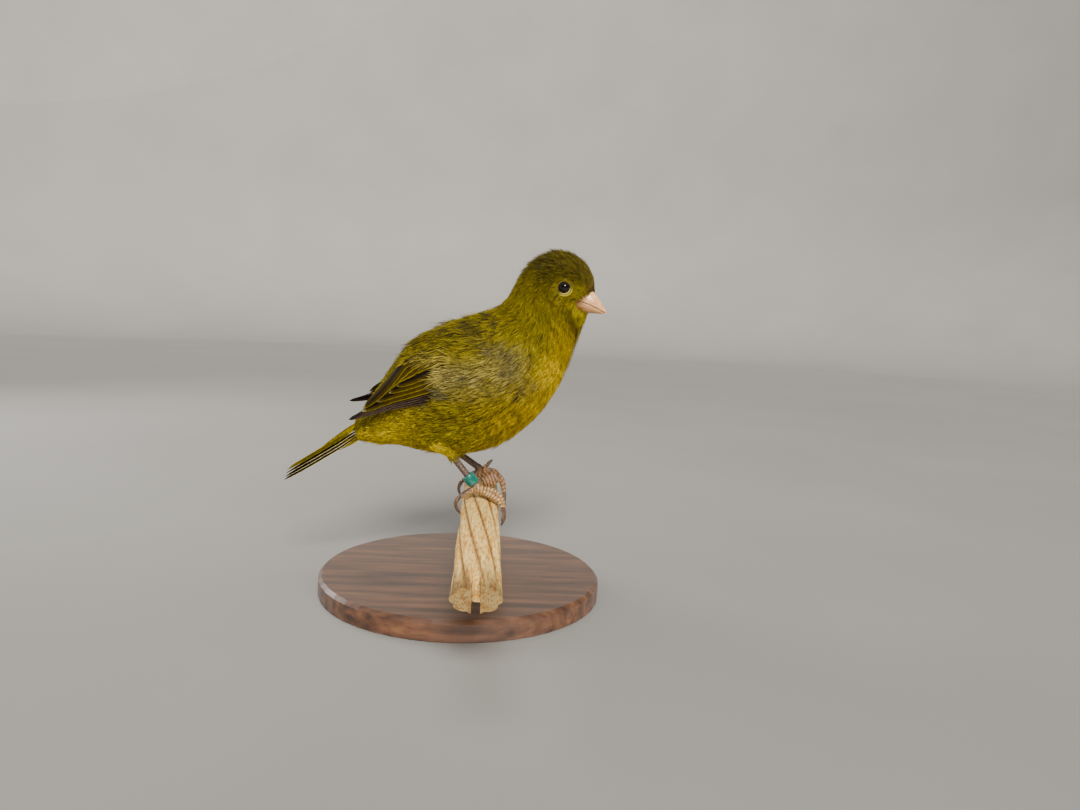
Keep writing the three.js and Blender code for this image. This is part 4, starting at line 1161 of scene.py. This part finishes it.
def carveScutes(piece, side):
    # Broad plates across the shank and the tops of the toes, and folds where the foot is bunched up
    form = legForm[side]
    points = vertexArray(piece)
    foot, up, _ = legLine(side)
    aside = points - foot
    reach = -(aside @ up)
    onShank = 1 - smooth(reach, -1.2, 0.4)
    bend = np.arctan2(points[:, 2] + 4, points[:, 0] + 0.6) * 7.6
    run = np.where(onShank > 0.5, reach, bend + 0.2 * unevenness(points, 5, 71))
    phase = run * 2 * math.pi / legForm["scute"]
    groove = 0.5 + 0.5 * np.cos(phase)
    fromBunch = np.linalg.norm(points - np.array(legForm["bunch"]), axis=1)
    folds = form["folds"] * (1 - smooth(fromBunch, *legForm["bunchEdge"]))
    sweep = np.hypot(points[:, 0] + 3.5, points[:, 2] + 0.5) * 2 * math.pi / legForm["fold"]
    folded = 0.5 + 0.5 * np.cos(sweep + 1.3 * unevenness(points, 4, 72))
    groove = groove * (1 - folds)
    cut = legForm["depth"] * groove ** 4 + legForm["foldDepth"] * folds * folded ** 2
    swell(piece, -0.5, np.clip(cut / 0.5, 0, 1))
    # Painted shade in the grooves and in the valleys of the folds, and painted highlights on one side of
    # each plate and on the tops of the folds
    toe, pale, dark, hindTone = (linear(form[k]) for k in ("toe", "pale", "dark", "hind"))
    grooveShade = smooth(groove, 0.8, 1)
    tones = mix(toe, pale, 0.8 * smooth(0.5 - 0.5 * np.cos(phase + 0.9), 0.5, 1))
    tones = mix(tones, pale, 0.5 * folds * (1 - folded))
    tones = mix(tones, dark, 0.85 * grooveShade + 0.8 * folds * folded ** 3)
    hind = smooth(-aside[:, 0], 0.8, 2.6) * (1 - onShank)
    tones = mix(tones, hindTone * (1 - 0.5 * grooveShade[:, None]), 0.8 * hind)
    # The shank is painted darker in its grooves and lighter between them
    tones = mix(tones, linear(legForm["shank"]) * (1 + 0.35 * (0.5 - groove))[:, None], onShank)
    paint(piece, "legTone", tones * (1 + 0.12 * unevenness(points, 1.4, 73))[:, None])


def buildFeet():
    legLayers = [(legCells, [(0.0, "#ffffff"), (0.75, "#b9a898")])]
    scaled = newMaterial("scaledLeg", 0.5, legLayers, "legTone", (0.4, -0.06),
                         Specular_IOR_Level=0.4, Coat_Weight=0.08)
    clawLayers = [((1400, 3, (1, 1, 0.25)), [(0.3, "#2e221b"), (0.55, "#54402f"), (0.75, "#7a624c")])]
    horn = newMaterial("claw", 0.32, clawLayers, None, (0.3, 0.05), Specular_IOR_Level=0.5, Coat_Weight=0.3)
    toes = ("inner", "middle", "outer", "hind")
    for side in ("right", "left"):
        nodes = ["shank_" + side, "pad_" + side] + [f"toe_{side}_{toe}" for toe in toes]
        piece = copyNodes("foot_" + side, nodes)
        melt(piece, voxel=0.17, rounds=28, before=0.2, after=-0.02)
        carveScutes(piece, side)
        finishPiece(piece, scaled, "shank_" + side, *nodes)
        for toe in toes:
            claw = copyNodes(f"horn_{side}_{toe}", [f"claw_{side}_{toe}"])
            melt(claw, voxel=0.13, rounds=8, before=0.14, after=0.06)
            finishPiece(claw, horn, f"claw_{side}_{toe}", f"claw_{side}_{toe}")


ringForm = {"voxel": 0.09, "bulge": 0.26, "outside": 1.4, "rim": 0.35}


def finishRing():
    # The ring's outside is made round, with a slight bulge at half its height
    layers = [((700, 5, (1, 1, 3)), [(0.25, "#034239"), (0.6, "#055c4f"), (0.85, "#0a7161")])]
    material = newMaterial("legRing", 0.2, layers, None, (0.25, 0.06), Coat_Weight=1.0, Coat_Roughness=0.05)
    piece = copyNodes("band", ["leg_ring"])
    melt(piece, ringForm["voxel"], rounds=12)
    foot, up, _ = legLine("right")
    aside = vertexArray(piece) - foot
    height = aside @ up
    radius = np.linalg.norm(aside - height[:, None] * up, axis=1)
    across = 1 - ((height - height.mean()) / np.ptp(height) * 2) ** 2
    missing = (ringForm["bulge"] * across + radius.max() - radius) * (radius > ringForm["outside"])
    swell(piece, 1, np.clip(missing * smooth(across, 0, ringForm["rim"]), 0, 1))
    applyModifier(piece, "SMOOTH", factor=0.5, iterations=6)
    finishPiece(piece, material, "leg_ring", "leg_ring")


# Perch and stand

# The flute tone is painted shade in the flute bottoms, and the cut tone is the ends' end grain with painted
# shade
perchForm = {"leanX": -0.0096, "leanZ": 0.0175, "middleZ": -3.3, "halfWide": 5.85, "halfTall": 3.3,
             "fluteShadeEdge": (0.87, 0.97), "fluteShade": "#8d6a3c", "cutEnd": 0.35, "cut": "#8e8a86", "bevel": 0.25}


def finishPerch():
    grainStops = [(0.25, "#b5802e"), (0.38, "#d0a04c"), (0.5, "#dfbe70"), (0.75, "#ead190")]
    layers = [((420, 6, (1.6, 0.09, 1.6), 0.65), grainStops),
              ((2600, 3, (1, 0.12, 1)), [(0.35, "#c7a77c"), (0.55, "#ffffff")])]
    material = newMaterial("pine", 0.68, layers, "woodTone", (0.4, 0.12), Specular_IOR_Level=0.3)
    piece = copyNodes("perch_wood", ["perch"])
    applyModifier(piece, "BEVEL", width=perchForm["bevel"] * mm, segments=2, limit_method="ANGLE",
                  angle_limit=math.radians(40))
    # The flutes have painted shade along their bottoms, and the sawn ends are grey: their end grain with
    # painted shade
    x, y, z = vertexArray(piece).T
    aside = (x - y * perchForm["leanX"]) / perchForm["halfWide"]
    above = (z - (y * perchForm["leanZ"] + perchForm["middleZ"])) / perchForm["halfTall"]
    out = smooth(np.hypot(aside, above), *perchForm["fluteShadeEdge"])
    tones = mix(linear(perchForm["fluteShade"]), linear("#ffffff"), out)
    tones[np.minimum(y - y.min(), y.max() - y) < perchForm["cutEnd"]] = linear(perchForm["cut"])
    paint(piece, "woodTone", tones)
    finishPiece(piece, material, "perch", "perch", rounded=False)


def finishStand():
    woodLayers = [((120, 6, (0.25, 3, 3), 0.6), [(0.3, "#2a1910"), (0.5, "#4a2f1f"), (0.7, "#66432c")])]
    wood = newMaterial("darkWood", 0.38, woodLayers, None, (0.2, 0.1), Coat_Weight=0.3, Coat_Roughness=0.25)
    steelLayers = [((900, 3, (1, 1, 0.05)), [(0.3, "#8d9094"), (0.7, "#c3c6c8")])]
    steel = newMaterial("brushedSteel", 0.3, steelLayers, None, (0.15, 0.03), Metallic=1.0)
    for name, material in (("stand_base", wood), ("stand_rod", steel)):
        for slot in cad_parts[name].material_slots:
            slot.material = material


def addFloor():
    # A round floor that curves up into a wall all round
    deselectAll()
    bpy.ops.mesh.primitive_circle_add(vertices=96, radius=room["floorRadius"] * mm, fill_type="NGON")
    floor = bpy.context.object
    floor.name = "floor"
    bpy.ops.object.mode_set(mode="EDIT")
    radius, height = room["floorRadius"], 0
    rims = [(radius + room["curve"] * math.sin(a), room["curve"] * (1 - math.cos(a)))
            for a in np.linspace(0, math.pi / 2, room["steps"] + 1)[1:]]
    rims.append((rims[-1][0] + 5, rims[-1][1] + room["wall"]))
    bpy.ops.mesh.select_mode(type="EDGE")
    bpy.ops.mesh.select_all(action="SELECT")
    bpy.ops.mesh.region_to_loop()
    for nextRadius, nextHeight in rims:
        bpy.ops.mesh.extrude_edges_move(TRANSFORM_OT_translate={"value": (0, 0, (nextHeight - height) * mm)})
        grow = nextRadius / radius
        bpy.ops.transform.resize(value=(grow, grow, 1), center_override=(0, 0, 0))
        radius, height = nextRadius, nextHeight
    bpy.ops.mesh.select_all(action="SELECT")
    bpy.ops.mesh.normals_make_consistent(inside=True)
    bpy.ops.object.mode_set(mode="OBJECT")
    for polygon in floor.data.polygons:
        polygon.use_smooth = len(polygon.vertices) == 4
    layers = [((6, 3), [(0.3, "#7b7874"), (0.7, "#807e79")])]
    floor.data.materials.append(newMaterial("paleFloor", 0.85, layers))
    floor.visible_shadow = False


addCamera()
addLights()
addFloor()
print("stage ready")
buildSkin()
growCoat()
growBristles()
growThighs()
for wingSide, setup in wings.items():
    growWing(wingSide, setup)
    growOverWing("scapulars", wingSide, setup)
    growOverWing("flanks", wingSide, setup)
growTail()
print("feathers ready")
buildEyes()
buildBill()
buildFeet()
finishRing()
finishPerch()
finishStand()
print("hard parts ready")
